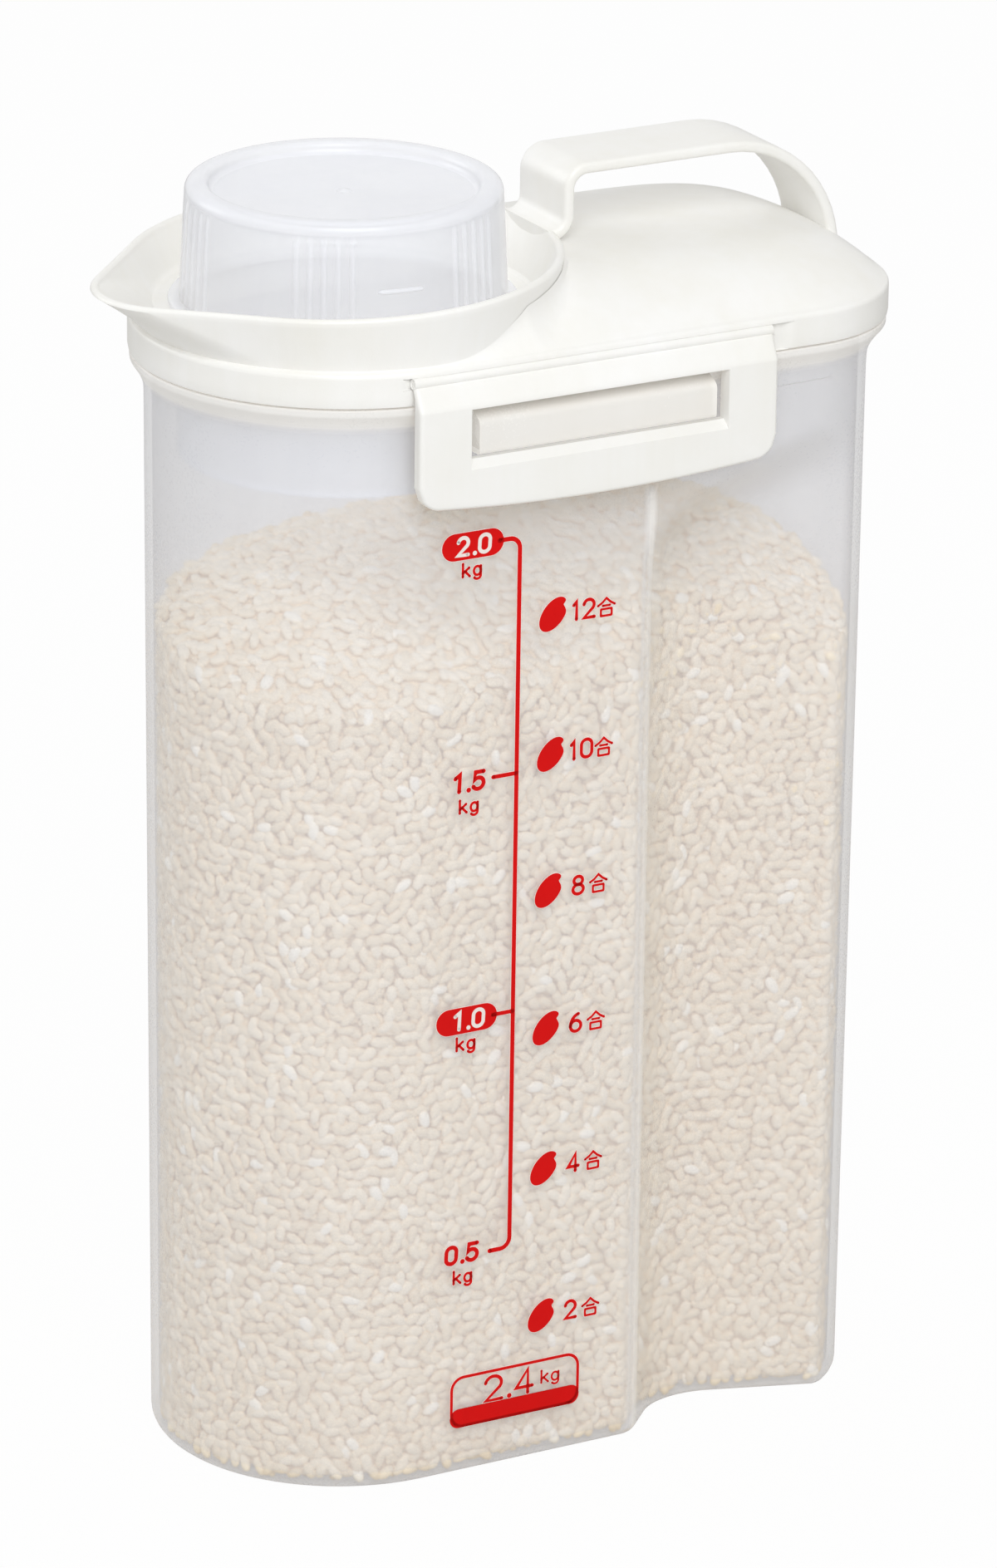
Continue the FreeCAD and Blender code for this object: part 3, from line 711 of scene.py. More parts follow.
shoulder_turn = np.linspace(0.0, np.pi / 2, 5)
skirt_z = [254.9, 256.0, 257.4, 258.3, 258.4, 260.9, 261.0, 261.3]
shoulder_top = shoulder_z - shoulder_round + shoulder_round * np.sin(shoulder_turn)
outer_skirt = skirt_rows(
    np.concatenate([[0.2], np.zeros(7), shoulder_edge * (1 - np.cos(shoulder_turn))]),
    np.concatenate([skirt_z, shoulder_top]),
    [1, 1, 1, 1, 1, 1, 0, 0] + [0] * 5, [0, 0, 0, 0, 1, 1, 0, 0] + [0] * 5)
crown_inner = crown_rows(np.linspace(0.0, 1.0, 14)[:-2], lid_wall)
inner_skirt = rim_points([7.1, 7.1, 6.9, 6.0, 5.8, 5.8, 2.6, 2.6, 2.4, 0.5],
                         [262.0, 255.3, 255.0, 255.0, 255.3, 259.5, 259.5, 255.0, skirt_low, skirt_low],
                         [1.0, 1.0, 1.0, 1.0, 1.0, 1.0, 0.0, 0.0, 0.0, 0.0])
lid_rows = np.concatenate([outer_skirt, crown_outer, crown_inner, inner_skirt])
lid_mesh = fill_mesh("lid_top", lid_rows.reshape(-1, 3), grid_quads(len(lid_rows), columns, ring_rows=True))
add_piece(lid_mesh, cream, "lid", "cream_plastic", "lid_shell")

# %% [markdown]
# ## The pour collar
# A low bowl stands round the mouth, round behind and drawn out in front to a lip for pouring. Its outline
# goes from a circle at the foot to a drop shape at the rim. Both are the same four curves (an arc, a straight
# run, the tip's arc and the run back), so the rows between them are a plain mix of the two. On the circle
# each straight run is a very short arc that points the same way, so the wall has no creases.

# %% Two outlines for the collar
rim_radius = 47.9
spout_reach = 59.0
tip_radius = 20.0
arc_step = np.linspace(-1.0, 1.0, 150, endpoint=False)[None, :]
run_step = np.linspace(0.0, 1.0, 14, endpoint=False)[None, :]
tip_step = np.linspace(-1.0, 1.0, 60, endpoint=False)[None, :]
tip_x = spout_reach - tip_radius
rim_turn = math.acos((rim_radius - tip_radius) / tip_x)
run_half = 0.03


def collar_rim(inset):
    """A circle about the cup's axis with a smaller circle in front of it, wrapped by their common tangents and
    drawn in by an inset."""
    radius, tip = rim_radius - inset, tip_radius - inset
    back_turn = arc_step * (np.pi - rim_turn)
    front_turn = np.pi + tip_step * rim_turn
    far_x, far_y = -math.cos(rim_turn), math.sin(rim_turn)
    run_x = radius * far_x + ((tip - radius) * far_x - tip_x) * run_step
    run_y = radius * far_y + (tip - radius) * far_y * run_step
    x = np.concatenate([radius * np.cos(back_turn), run_x, tip * np.cos(front_turn) - tip_x,
                        tip * far_x - tip_x + ((radius - tip) * far_x + tip_x) * run_step], axis=1)
    y = np.concatenate([radius * np.sin(back_turn), run_y, tip * np.sin(front_turn),
                        -tip * far_y - (radius - tip) * far_y * run_step], axis=1)
    return axis_x + x, y


def collar_circle(radius):
    """A circle about the cup's axis on the rim's columns."""
    run = (2 * run_step - 1) * run_half
    turn = np.concatenate([arc_step * (np.pi - rim_turn - run_half), np.pi - rim_turn + run,
                           np.pi + tip_step * (rim_turn - run_half), np.pi + rim_turn + run], axis=1)
    return axis_x + radius * np.cos(turn), radius * np.sin(turn)


print("collar columns", collar_rim(0.0)[0].size, "straight runs from", round(math.degrees(rim_turn), 1), "degrees")

# %% The collar's surface
rim_z = 275.5
rim_tilt = 0.03
rim_wall = 2.0
rim_round = 0.9
mouth_radius = 36.7
bowl_foot = 42.4
bowl_floor_z = 265.0


def collar_rows(share, inset, foot_radius, z_low, z_high):
    """Rows from foot to rim: a mix of the two outlines by a share, drawn in by an inset. The rim leans."""
    share = np.reshape(share, (-1, 1))
    foot_x, foot_y = collar_circle(foot_radius)
    top_x, top_y = collar_rim(np.reshape(inset, (-1, 1)))
    mix = share ** collar_power
    x, y = foot_x + (top_x - foot_x) * mix, foot_y + (top_y - foot_y) * mix
    z = z_low + (z_high - z_low) * share + rim_tilt * (x - axis_x) * share
    return np.stack([x, y, z], axis=-1)


def ring_rows(radius, z):
    """Round rows about the cup's axis, on the collar's columns."""
    return at_heights(*collar_circle(np.array(radius, float)[:, None]), z)


climb = np.linspace(0.0, 1.0, 12)
lip_turn = np.linspace(0.0, np.pi, 9)
lip_inset = rim_wall / 2 * (1 - np.cos(lip_turn))
lip_low = rim_z - rim_round
lip_top = lip_low + rim_round * np.sin(lip_turn)
lip = np.concatenate([collar_rows([1.0], [inset], collar_foot, top, top)
                      for inset, top in zip(lip_inset, lip_top)])
collar_points = np.concatenate([
    collar_rows(climb[:-1], np.zeros(len(climb) - 1), collar_foot, shoulder_z - 0.1, lip_low), lip,
    collar_rows(climb[::-1][1:], np.full(len(climb) - 1, rim_wall), bowl_foot, bowl_floor_z + 0.8, lip_low),
    ring_rows([41.6, 37.3, 36.85, mouth_radius, mouth_radius, 37.2, 43.0],
              [bowl_floor_z + 0.1, bowl_floor_z, 264.9, 264.6, 263.5, 263.2, 263.0])])
collar_columns = collar_points.shape[1]
collar_mesh = fill_mesh("pour_bowl", collar_points.reshape(-1, 3),
                        grid_quads(len(collar_points), collar_columns, ring_rows=True))
add_piece(collar_mesh, cream, "lid", "cream_plastic", "pour_collar")

# %% [markdown]
# ## The carry strap
# A flat strap rises from the collar's rear rim, runs level and comes down in a long round to the rear of
# the lid. It is a rounded section carried along a path in the upright middle plane. The path is straight
# runs joined by arcs, so its points and its sideways direction come straight from angles.

# %% The strap
strap_width = 21.0
strap_thickness = 2.6
strap_round = 1.15
strap_top = 291.3
strap_end = 86.3
foot_radius, top_radius, rear_radius = 4.2, 4.6, 27.0
foot_x, post_x = 12.2, 17.3
strap_level = strap_top - strap_thickness / 2
strap_rear_x = strap_end - strap_thickness / 2
foot_point_z = rim_z + rim_tilt * rim_radius - strap_thickness / 2
quarter = np.linspace(0.0, np.pi / 2, 14)


def bend(middle_x, middle_z, radius, start, sweep):
    """Path points on an arc and the direction that points to the strap's upper face there."""
    turn = math.radians(start) + sweep * quarter
    out = np.stack([np.cos(turn), np.sin(turn)], axis=-1)
    return np.array([middle_x, middle_z]) + radius * out, out


foot_bend, foot_out = bend(post_x - foot_radius, foot_point_z + foot_radius, foot_radius, -90.0, 1.0)
top_bend, top_out = bend(post_x + top_radius, strap_level - top_radius, top_radius, 180.0, -1.0)
rear_bend, rear_out = bend(strap_rear_x - rear_radius, strap_level - rear_radius, rear_radius, 90.0, -1.0)
foot_start = np.array([[foot_x, foot_point_z]])
path = np.concatenate([foot_start, foot_bend, top_bend, rear_bend])
lift = np.concatenate([[[0.0, 1.0]], -foot_out, top_out, rear_out])
wide, thick = strap_width / 2, strap_thickness / 2
strap_section = rounded_section(((-wide, -thick), (wide, -thick), (wide, thick), (-wide, thick)), strap_round, 6)
strap_points = np.stack(
    [path[:, None, 0] + strap_section[None, :, 1] * lift[:, None, 0],
     np.broadcast_to(strap_section[None, :, 0], (len(path), len(strap_section))),
     path[:, None, 1] + strap_section[None, :, 1] * lift[:, None, 1]], axis=-1)
ends = np.array([[path[0, 0], 0.0, path[0, 1]], [path[-1, 0], 0.0, path[-1, 1]]])
strap_mesh = capped("strap", np.concatenate([strap_points.reshape(-1, 3), ends]), len(strap_section))
add_piece(strap_mesh, cream, "lid", "cream_plastic", "carry_handle")

# %% [markdown]
# ## The measuring cup
# Upside down, the cup is the lid's stopper. It is turned about its axis, apart from six groups of five
# upright grip ribs. Turning the profile with a radius that depends on the angle gives both at once.

# %% Grip ribs on the cup
rib_pitch = math.radians(5.0)
rib_half = math.radians(1.25)
rib_rise = 0.45
rib_groups = 6
ribs_in_group = 5
first_group = math.radians(-5.0)
turns = np.linspace(0.0, 2 * np.pi, 960, endpoint=False)


def rib_wave(turn):
    """Height share of the grip ribs at an angle: a raised half wave at each rib, none between the groups."""
    group_angle = 2 * np.pi / rib_groups
    local = (turn - first_group + group_angle / 2) % group_angle - group_angle / 2
    nearest = np.clip(np.round(local / rib_pitch), -(ribs_in_group // 2), ribs_in_group // 2)
    off = np.abs(local - nearest * rib_pitch) / rib_half
    return np.cos(np.minimum(off, 1.0) * np.pi / 2) ** 0.8


print("grip ribs", rib_groups * ribs_in_group)

# %% The cup
cup_top_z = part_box("measuring_cup")[1][2] / MM
edge_turn = np.linspace(0.0, np.pi / 2, 7)
step_turn = np.linspace(0.0, np.pi / 2, 6)
cup_edge = 2.2
cup_top_radius = 34.6
ring_inner = 29.4
half_step = 1.3
disc_z = cup_top_z - 2 * half_step
inner_z = cup_top_z - 4.0
bead_z = 265.6
rib_top_z, rib_top_fade = 289.0, 1.2
rib_foot_z, rib_foot_fade = 266.2, 0.6
profile = np.concatenate([
    [[0.9, disc_z + 0.4], [1.3, disc_z + 0.3], [1.7, disc_z], [14.0, disc_z]],
    np.stack([ring_inner - half_step + half_step * np.sin(step_turn),
              disc_z + half_step * (1 - np.cos(step_turn))], axis=-1),
    np.stack([ring_inner + half_step * (1 - np.cos(step_turn)),
              cup_top_z - half_step + half_step * np.sin(step_turn)], axis=-1)[1:],
    np.stack([cup_top_radius - cup_edge + cup_edge * np.sin(edge_turn),
              cup_top_z - cup_edge + cup_edge * np.cos(edge_turn)], axis=-1),
    [[34.62, 289.2], [34.66, 288.4], [34.75, 287.0], [35.3, 276.0], [35.75, 267.3], [35.8, 266.4],
     [36.2, 266.2], [38.0, 265.9], [38.2, bead_z], [38.2, 265.1], [38.0, 265.0], [35.9, 264.9],
     [36.0, 255.0], [36.25, 233.0], [36.3, 231.8], [36.1, 231.4], [35.1, 231.4], [34.9, 231.8], [34.9, 233.0],
     [34.4, 265.0], [33.3, 289.0], [32.6, inner_z], [16.0, inner_z], [1.0, inner_z]]])
radius, level = profile[:, :1], profile[:, 1:]
on_wall = (np.clip((rib_top_z - level) / rib_top_fade, 0.0, 1.0)
           * np.clip((level - rib_foot_z) / rib_foot_fade, 0.0, 1.0) * (radius > cup_top_radius + 0.01))
cup_radius = radius + rib_rise * on_wall * rib_wave(turns)[None, :]
cup_points = np.stack([axis_x + cup_radius * np.cos(turns), cup_radius * np.sin(turns),
                       np.broadcast_to(level, cup_radius.shape)], axis=-1).reshape(-1, 3)
poles = np.array([[axis_x, 0.0, disc_z + 0.45], [axis_x, 0.0, inner_z]])
cup_mesh = capped("cup_body", np.concatenate([cup_points, poles]), len(turns), inside_out=True)
print("cup", len(profile), "rows of", len(turns), "points")

# %% Where the cup is thick
thick_ring = (level > disc_z) * (radius > ring_inner - half_step) * 0.30
thick_bead = (np.abs(level - bead_z) < 0.8) * (radius > 36.5) * 0.40
thick_lip = (level < 232.5) * 0.85
thick_rib = 0.35 * on_wall * rib_wave(turns)[None, :]
cup_veil = np.broadcast_to(thick_ring + thick_bead + thick_lip, cup_radius.shape) + thick_rib
mark(cup_mesh, "veil", np.concatenate([cup_veil.ravel(), [0.2, 0.0]]))
add_piece(cup_mesh, cup_plastic, "cup", "cup_plastic", "measuring_cup")

# %% [markdown]
# The cup's side has a short raised measure line. It is a small round section carried along an arc of the
# wall, half sunk in it, and drawn in at both ends.

# %% The cup's measure line
line_z = 277.0
line_radius = 35.25
line_thick = 0.55
line_steps, line_sides = 30, 10
line_turn = np.radians(np.linspace(-106.0, -89.0, line_steps))[:, None]
line_round = np.linspace(0.0, 2 * np.pi, line_sides, endpoint=False)[None, :]
line_end = np.linspace(-1.0, 1.0, line_steps)[:, None] ** 8
line_size = line_thick * np.sqrt(np.maximum(1.0 - line_end, 0.02))
line_out = line_radius + line_size * np.cos(line_round)
line_rows = np.stack([axis_x + line_out * np.cos(line_turn), line_out * np.sin(line_turn),
                      line_z + line_size * np.sin(line_round)], axis=-1)
line_points = np.concatenate([line_rows.reshape(-1, 3), [line_rows[0].mean(axis=0), line_rows[-1].mean(axis=0)]])
line_mesh = capped("cup_measure_line", line_points, line_sides, inside_out=True)
mark(line_mesh, "veil", np.full(len(line_points), 0.30))
add_piece(line_mesh, cup_plastic, "cup", "cup_plastic")

# %% [markdown]
# ## The side clips
# Each clip is a plate with a window, sloped back at the top to its hinge bar. A grid with the window's
# cells left out makes its front, a second one its back. Loops round the two borders, each a little further
# in or back, join them with a rounded outer edge and with the window's walls and sloping sill.

# %% Front and back of the clip
clip_left, clip_right = -41.0, 47.4
clip_top = 259.4
clip_back_y, clip_front_y = 47.35, 50.35
face_top = 254.0
hinge_y = 46.6
head_bend_z, head_front, head_back = 256.6, 1.0, 0.4


def front_of_clip(z):
    """Distance of the clip's front from the middle plane: upright below, sloping back to the hinge above."""
    share = np.clip((z - face_top) / (clip_top - face_top), 0.0, 1.0)
    return clip_front_y - (clip_front_y - hinge_y - head_front) * share


def back_of_clip(z):
    """Distance of the clip's back: upright below, drawn in to the hinge bar at the very top."""
    share = np.clip((z - head_bend_z) / (clip_top - head_bend_z), 0.0, 1.0)
    return clip_back_y - (clip_back_y - hinge_y + head_back) * share


print("clip", round(clip_right - clip_left, 1), "mm long, its front slopes back",
      round(float(clip_front_y - front_of_clip(clip_top)), 2), "mm")

# %% The plate's grid
clip_bottom, clip_bow, clip_corner = 230.0, 2.2, 5.0
window_half = 31.4
window_low, window_high = 242.0, 253.2
post_cells, window_cells = 14, 48
sill_cells, high_cells, head_cells, slope_cells = 10, 10, 2, 6


def plate_grid(inset, spread_by=0.0, drop_by=0.0, head_by=0.0):
    """Places in the clip's front view, rows upwards and columns to the right. The lowest row follows the bowed
    lower edge and its round corners; whole rows and columns lie on the window's edges."""
    left, right = clip_left + inset, clip_right - inset
    window_left, window_right = clip_middle_x - window_half - spread_by, clip_middle_x + window_half + spread_by
    x = np.concatenate([np.linspace(left, window_left, post_cells, endpoint=False),
                        np.linspace(window_left, window_right, window_cells, endpoint=False),
                        np.linspace(window_right, right, post_cells + 1)])
    corner = clip_corner - inset
    reach = np.minimum(np.minimum(x - left, right - x), corner)
    middle, half = (left + right) / 2, (right - left) / 2
    low = (clip_bottom + inset + clip_bow * ((x - middle) / half) ** 2
           + corner - np.sqrt(np.maximum(corner ** 2 - (corner - reach) ** 2, 0.0)))
    sill, head = window_low - drop_by, window_high + head_by
    share = np.linspace(0.0, 1.0, sill_cells, endpoint=False)[:, None]
    upper = np.concatenate([np.linspace(sill, head, high_cells, endpoint=False),
                            np.linspace(head, face_top, head_cells, endpoint=False),
                            np.linspace(face_top, clip_top - inset, slope_cells + 1)])[:, None]
    z = np.concatenate([low + (sill - low) * share, np.broadcast_to(upper, (len(upper), len(x)))])
    return np.broadcast_to(x, z.shape), z


grid_shape = plate_grid(0.0)[1].shape
print("clip grid", grid_shape)

# %% Borders of the plate
clip_edge = 0.9
sill_drop, sill_spread, sill_head = 2.0, 0.4, 0.3


def border(low, high, left, right, width):
    """Numbers of the grid points round a block of cells: along the bottom, up, back along the top, down."""
    across, rise = np.arange(left, right), np.arange(low, high)
    return np.concatenate([low * width + across, rise * width + right,
                           high * width + across[::-1] + 1, (rise[::-1] + 1) * width + left])


def clip_loop(grid, loop, out):
    """Points of one loop of a grid at a distance from the middle plane, on the near side."""
    x, z = grid[0].ravel()[loop], grid[1].ravel()[loop]
    return np.stack([x, -out(z), z], axis=-1)


def edge_loop(turn):
    """The outer border at one angle of its rounding: drawn in by the sine, set back by the cosine."""
    grid = plate_grid(clip_edge * (1 - math.sin(turn)), sill_spread, sill_drop, sill_head)
    return clip_loop(grid, outer_border, lambda z: front_of_clip(z) - clip_edge * (1 - math.cos(turn)))


def strip(first, second):
    """Quads between two closed loops of equal length."""
    return np.stack([first, np.roll(first, -1), np.roll(second, -1), second], axis=-1)


outer_border = border(0, grid_shape[0] - 1, 0, grid_shape[1] - 1, grid_shape[1])
window_border = border(sill_cells, sill_cells + high_cells, post_cells, post_cells + window_cells, grid_shape[1])
cell = np.arange((grid_shape[0] - 1) * (grid_shape[1] - 1)).reshape(grid_shape[0] - 1, -1)
open_cells = cell[sill_cells:sill_cells + high_cells, post_cells:post_cells + window_cells].ravel()
print("outer border", len(outer_border), "window border", len(window_border), "window cells", len(open_cells))

# %% The clips
back_edge = 0.3
sill_depth = 1.5
hinge_z, hinge_radius, hinge_end_round = 259.8, 1.2, 0.3
front_grid = plate_grid(clip_edge, sill_spread, sill_drop, sill_head)
back_grid = plate_grid(back_edge)
edge_loops = [edge_loop(turn) for turn in np.linspace(0.0, np.pi / 2, 6)[1:]]
edge_loops.append(clip_loop(plate_grid(0.0), outer_border, lambda z: back_of_clip(z) + back_edge))
wall_loop = clip_loop(plate_grid(0.0), window_border, lambda z: front_of_clip(z) - sill_depth)
flat_count = grid_shape[0] * grid_shape[1]
every = np.arange(flat_count)
clip_points = np.concatenate([
    clip_loop(front_grid, every, front_of_clip), clip_loop(back_grid, every, back_of_clip),
    *edge_loops, wall_loop])
plate_quads = np.delete(grid_quads(*grid_shape, ring_columns=False), open_cells, axis=0)
loop_size = len(outer_border)
loops = [2 * flat_count + loop_size * step + np.arange(loop_size) for step in range(len(edge_loops))]
loops = [outer_border, *loops, outer_border + flat_count]
inner = 2 * flat_count + loop_size * len(edge_loops) + np.arange(len(window_border))
clip_quads = np.concatenate(
    [plate_quads, plate_quads[:, ::-1] + flat_count]
    + [strip(first, second)[:, ::-1] for first, second in zip(loops, loops[1:])]
    + [strip(window_border, inner), strip(inner, window_border + flat_count)])
used, clip_quads = np.unique(clip_quads, return_inverse=True)
clip_quads = clip_quads.reshape(-1, 4)
clip_points = clip_points[used]
bar_turn = np.linspace(0.0, 2 * np.pi, 20, endpoint=False)
bar_section = np.stack([-hinge_y + hinge_radius * np.cos(bar_turn), hinge_z + hinge_radius * np.sin(bar_turn)],
                       axis=-1)
for side, body_name in ((1, "near_clip"), (-1, "far_clip")):
    plate_mesh = fill_mesh(
        body_name + "_plate", clip_points * (1.0, side, 1.0), clip_quads[:, ::side], crease=28.0)
    add_piece(plate_mesh, cream, body_name, "cream_plastic", body_name)
    side_section = (bar_section * (side, 1.0))[::side]
    hinge_mesh = bar(body_name + "_bar", side_section, clip_left, clip_right, hinge_end_round)
    add_piece(hinge_mesh, cream, body_name, "cream_plastic")

# %% [markdown]
# The soft packing under the lid keeps its solid, which is already the right plain ring, and only gets the
# rubber finish.

# %% The packing
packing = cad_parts["lid_packing"]
packing.data.materials.clear()
packing.data.materials.append(rubber)
print("packing", packing.name, len(packing.data.polygons))

# %% [markdown]
# ## The rice
# The bin is shown filled: a heap that leans towards the far wall, its grains pressed flat against the
# plastic. Thousands of grains could be dropped by physics, but only the skin of the heap is ever seen. So
# a plain core fills the inside, and grains are laid over it on an even lattice with some scatter: two
# layers along the wall and one on the heap. All the grains of a layer are placed in one sum of arrays.

# %% The heap
heap_top = 206.0
heap_middle_y = 18.0
side_fall, side_run = 20.5, 59.0
front_fall, front_from, front_run = 9.0, 25.0, 83.0
rear_fall, rear_from, rear_run = 11.0, 12.0, 69.0
mid_height = 120.0


def heap(x, y):
    """Height of the rice: a parabola across the width, cubics towards the front and the rear."""
    across = side_fall * ((y - heap_middle_y) / side_run) ** 2
    ahead = front_fall * (np.maximum(front_from - x, 0.0) / front_run) ** 3
    behind = rear_fall * (np.maximum(x - rear_from, 0.0) / rear_run) ** 3
    return heap_top - across - ahead - behind


def inner_line(depth):
    """The inside of the wall at mid height, drawn in by a depth: points and outward directions in plan."""
    level = np.array([mid_height])
    grown = np.array([wall + depth])
    line = wall_points(lean(level) + grown, level, np.zeros(1), grown, ease=inner_ease)[0, :, :2]
    along = np.roll(line, -1, axis=0) - np.roll(line, 1, axis=0)
    along = along / np.linalg.norm(along, axis=1, keepdims=True)
    return line, np.stack([along[:, 1], -along[:, 0]], axis=-1)


print("heap at near wall", round(float(heap(0.0, -41.0)), 1), "far wall", round(float(heap(0.0, 41.0)), 1))

# %% The core of the rice
core_depth = 3.3
core_sink = 1.2
core_climbs, core_draws = 24, 16
rice_floor = floor_z + 0.3
core_line = inner_line(core_depth)[0]
core_x, core_y = core_line[:, 0], core_line[:, 1]
climb_share = np.linspace(0.0, 1.0, core_climbs)[:, None]
core_z = rice_floor + (heap(core_x, core_y) - core_sink - rice_floor) * climb_share
core_side = np.stack(np.broadcast_arrays(core_x, core_y, core_z), axis=-1)
draw_in = np.linspace(1.0, 0.0, core_draws)[1:-1, None]
cap_x = base_middle_x + (core_x - base_middle_x) * draw_in
cap_y = core_y * draw_in
core_cap = np.stack([cap_x, cap_y, heap(cap_x, cap_y) - core_sink], axis=-1)
core_rows = np.concatenate([core_side, core_cap])
core_points = np.concatenate([core_rows.reshape(-1, 3),
                              [[base_middle_x, 0.0, rice_floor],
                               [base_middle_x, 0.0, float(heap(base_middle_x, 0.0)) - core_sink]]])
core_mesh = capped("rice_core", core_points, columns)
print("core", len(core_rows), "rows of", columns, "points")

# %% [markdown]
# Polished rice is waxy: cream grains, some of them chalky white, each a little different. A number kept
# on the points of each grain picks its tint, and a soft noise clouds it from end to end. Light seeps
# from grain to grain. A faint glow in the grain's own tint stands for it: painted light, which no lamp
# gives, that lifts the shade in the gaps.

# %% The rice finish
rice_finish = bpy.data.materials.new("polished_rice")
rice_finish.use_nodes = True
tree = rice_finish.node_tree
shader = tree.nodes["Principled BSDF"]
kernel = add_node(tree, "ShaderNodeAttribute", attribute_name="kernel")
place = add_node(tree, "ShaderNodeTexCoord")
chalk = add_node(tree, "ShaderNodeTexNoise", {"Scale": 420.0, "Detail": 2.0, "Roughness": 0.5})
mixed = add_node(tree, "ShaderNodeMath", {1: 0.20}, operation="MULTIPLY_ADD")
tints = add_node(tree, "ShaderNodeValToRGB")
stops = ((0.0, tint(226, 204, 166)), (0.45, tint(239, 221, 188)),
         (0.85, tint(248, 236, 213)), (1.0, tint(252, 246, 233)))
for spot, colour in stops[1:-1]:
    tints.color_ramp.elements.new(spot)
for element, (spot, colour) in zip(tints.color_ramp.elements, stops):
    element.position = spot
    element.color = colour
join(tree, (place.outputs["Object"], chalk.inputs["Vector"]), (chalk.outputs["Fac"], mixed.inputs[0]),
     (kernel.outputs["Fac"], mixed.inputs[2]), (mixed.outputs["Value"], tints.inputs["Fac"]),
     (tints.outputs["Color"], shader.inputs["Base Color"]),
     (tints.outputs["Color"], shader.inputs["Emission Color"]),
     (spread(tree, chalk.outputs["Fac"], 0.42, 0.58), shader.inputs["Roughness"]))
# The emission is painted light: a glow in the grain's tint that brightens the shade between grains.
shader.inputs["Emission Strength"].default_value = 0.10
shader.inputs["IOR"].default_value = 1.5
mark(core_mesh, "kernel", np.full(len(core_mesh.vertices), 0.40))
add_piece(core_mesh, rice_finish, "container", "rice_grain")

# %% One grain and its copies
dice = np.random.default_rng(20)
grain_half = np.array([2.2, 1.3, 1.0])


def grain_form(around, along):
    """One grain about the origin, long in X: rings of an ellipsoid with blunt ends, a little fuller at one
    end. Returns unit points and triangles."""
    swing = np.linspace(0.0, np.pi, along + 2)[1:-1, None]
    spin = np.linspace(0.0, 2 * np.pi, around, endpoint=False)[None, :]
    x = np.sign(np.cos(swing)) * np.abs(np.cos(swing)) ** 0.92
    girth = np.sin(swing) ** 0.9 * (1.0 + 0.10 * np.cos(swing))
    rings = np.stack([np.broadcast_to(x, (along, around)), girth * np.cos(spin), girth * np.sin(spin)], axis=-1)
    form = np.concatenate([rings.reshape(-1, 3), [[1.0, 0.0, 0.0], [-0.97, 0.0, 0.0]]])
    quads = grid_quads(along, around)[:, ::-1]
    first, last = np.arange(around), np.arange(around) + (along - 1) * around
    faces = np.concatenate([quads[:, [0, 1, 2]], quads[:, [0, 2, 3]],
                            fan(first, len(form) - 2), fan(last, len(form) - 1, outward=False)])
    return form, faces


def scatter(form, faces, centre, normal, lean_spread):
    """Copies of one grain: each is sized, turned at random in its own surface plane, tipped a little out of
    it and moved to its place. All are one product of arrays."""
    count = len(centre)
    upright = np.where(np.abs(normal[:, 2:]) < 0.7, (0.0, 0.0, 1.0), (1.0, 0.0, 0.0))
    flat = np.cross(upright, normal)
    flat = flat / np.linalg.norm(flat, axis=1, keepdims=True)
    other = np.cross(normal, flat)
    spin = dice.uniform(0.0, np.pi, (count, 1))
    tip = dice.normal(0.0, lean_spread, (count, 1))
    along = np.cos(spin) * flat + np.sin(spin) * other
    across = np.cos(spin) * other - np.sin(spin) * flat
    along_tipped = np.cos(tip) * along + np.sin(tip) * normal
    through = np.cos(tip) * normal - np.sin(tip) * along
    size = grain_half * dice.normal(1.0, 0.07, (count, 3)).clip(0.82, 1.18)
    local = form[None] * size[:, None]
    placed = (centre[:, None] + local[..., :1] * along_tipped[:, None] + local[..., 1:2] * across[:, None]
              + local[..., 2:] * through[:, None])
    return placed.reshape(-1, 3), (faces[None] + len(form) * np.arange(count)[:, None, None]).reshape(-1, 3)


fine_grain = grain_form(8, 4)
plain_grain = grain_form(6, 3)
print("faces of a grain", len(fine_grain[1]), "and of a plain one", len(plain_grain[1]))

# %% Places along the wall
jitter_along, jitter_up = 0.8, 0.7


def wall_lattice(lattice_along, lattice_up, depth_low, depth_high):
    """Centres along the wall: a brick lattice in distance along the outline and height, jittered, each at its
    own depth behind the wall, and only below the heap."""
    line, out = inner_line(0.0)
    closed = np.concatenate([line, line[:1]])
    walked = np.concatenate([[0.0], np.cumsum(np.linalg.norm(np.diff(closed, axis=0), axis=1))])
    along = np.arange(0.0, walked[-1] - lattice_along / 2, lattice_along)
    rise = np.arange(rice_floor + 0.6, heap_top + 2.0, lattice_up)
    spot = along[None, :] + (np.arange(len(rise)) % 2)[:, None] * lattice_along / 2
    spot = (spot + dice.uniform(-jitter_along, jitter_along, spot.shape)) % walked[-1]
    z = rise[:, None] + dice.uniform(-jitter_up, jitter_up, spot.shape)
    spot, z = spot.ravel(), z.ravel()
    wrapped = np.concatenate([out, out[:1]])
    normal = np.stack([np.interp(spot, walked, wrapped[:, 0]), np.interp(spot, walked, wrapped[:, 1]),
                       np.zeros_like(spot)], axis=-1)
    normal = normal / np.linalg.norm(normal, axis=1, keepdims=True)
    depth = dice.uniform(depth_low, depth_high, len(spot)) + (lean(z) - lean(mid_height))
    x = np.interp(spot, walked, closed[:, 0]) - normal[:, 0] * depth
    y = np.interp(spot, walked, closed[:, 1]) - normal[:, 1] * depth
    keep = z < heap(x, y) - 0.4
    return np.stack([x, y, z], axis=-1)[keep], normal[keep]


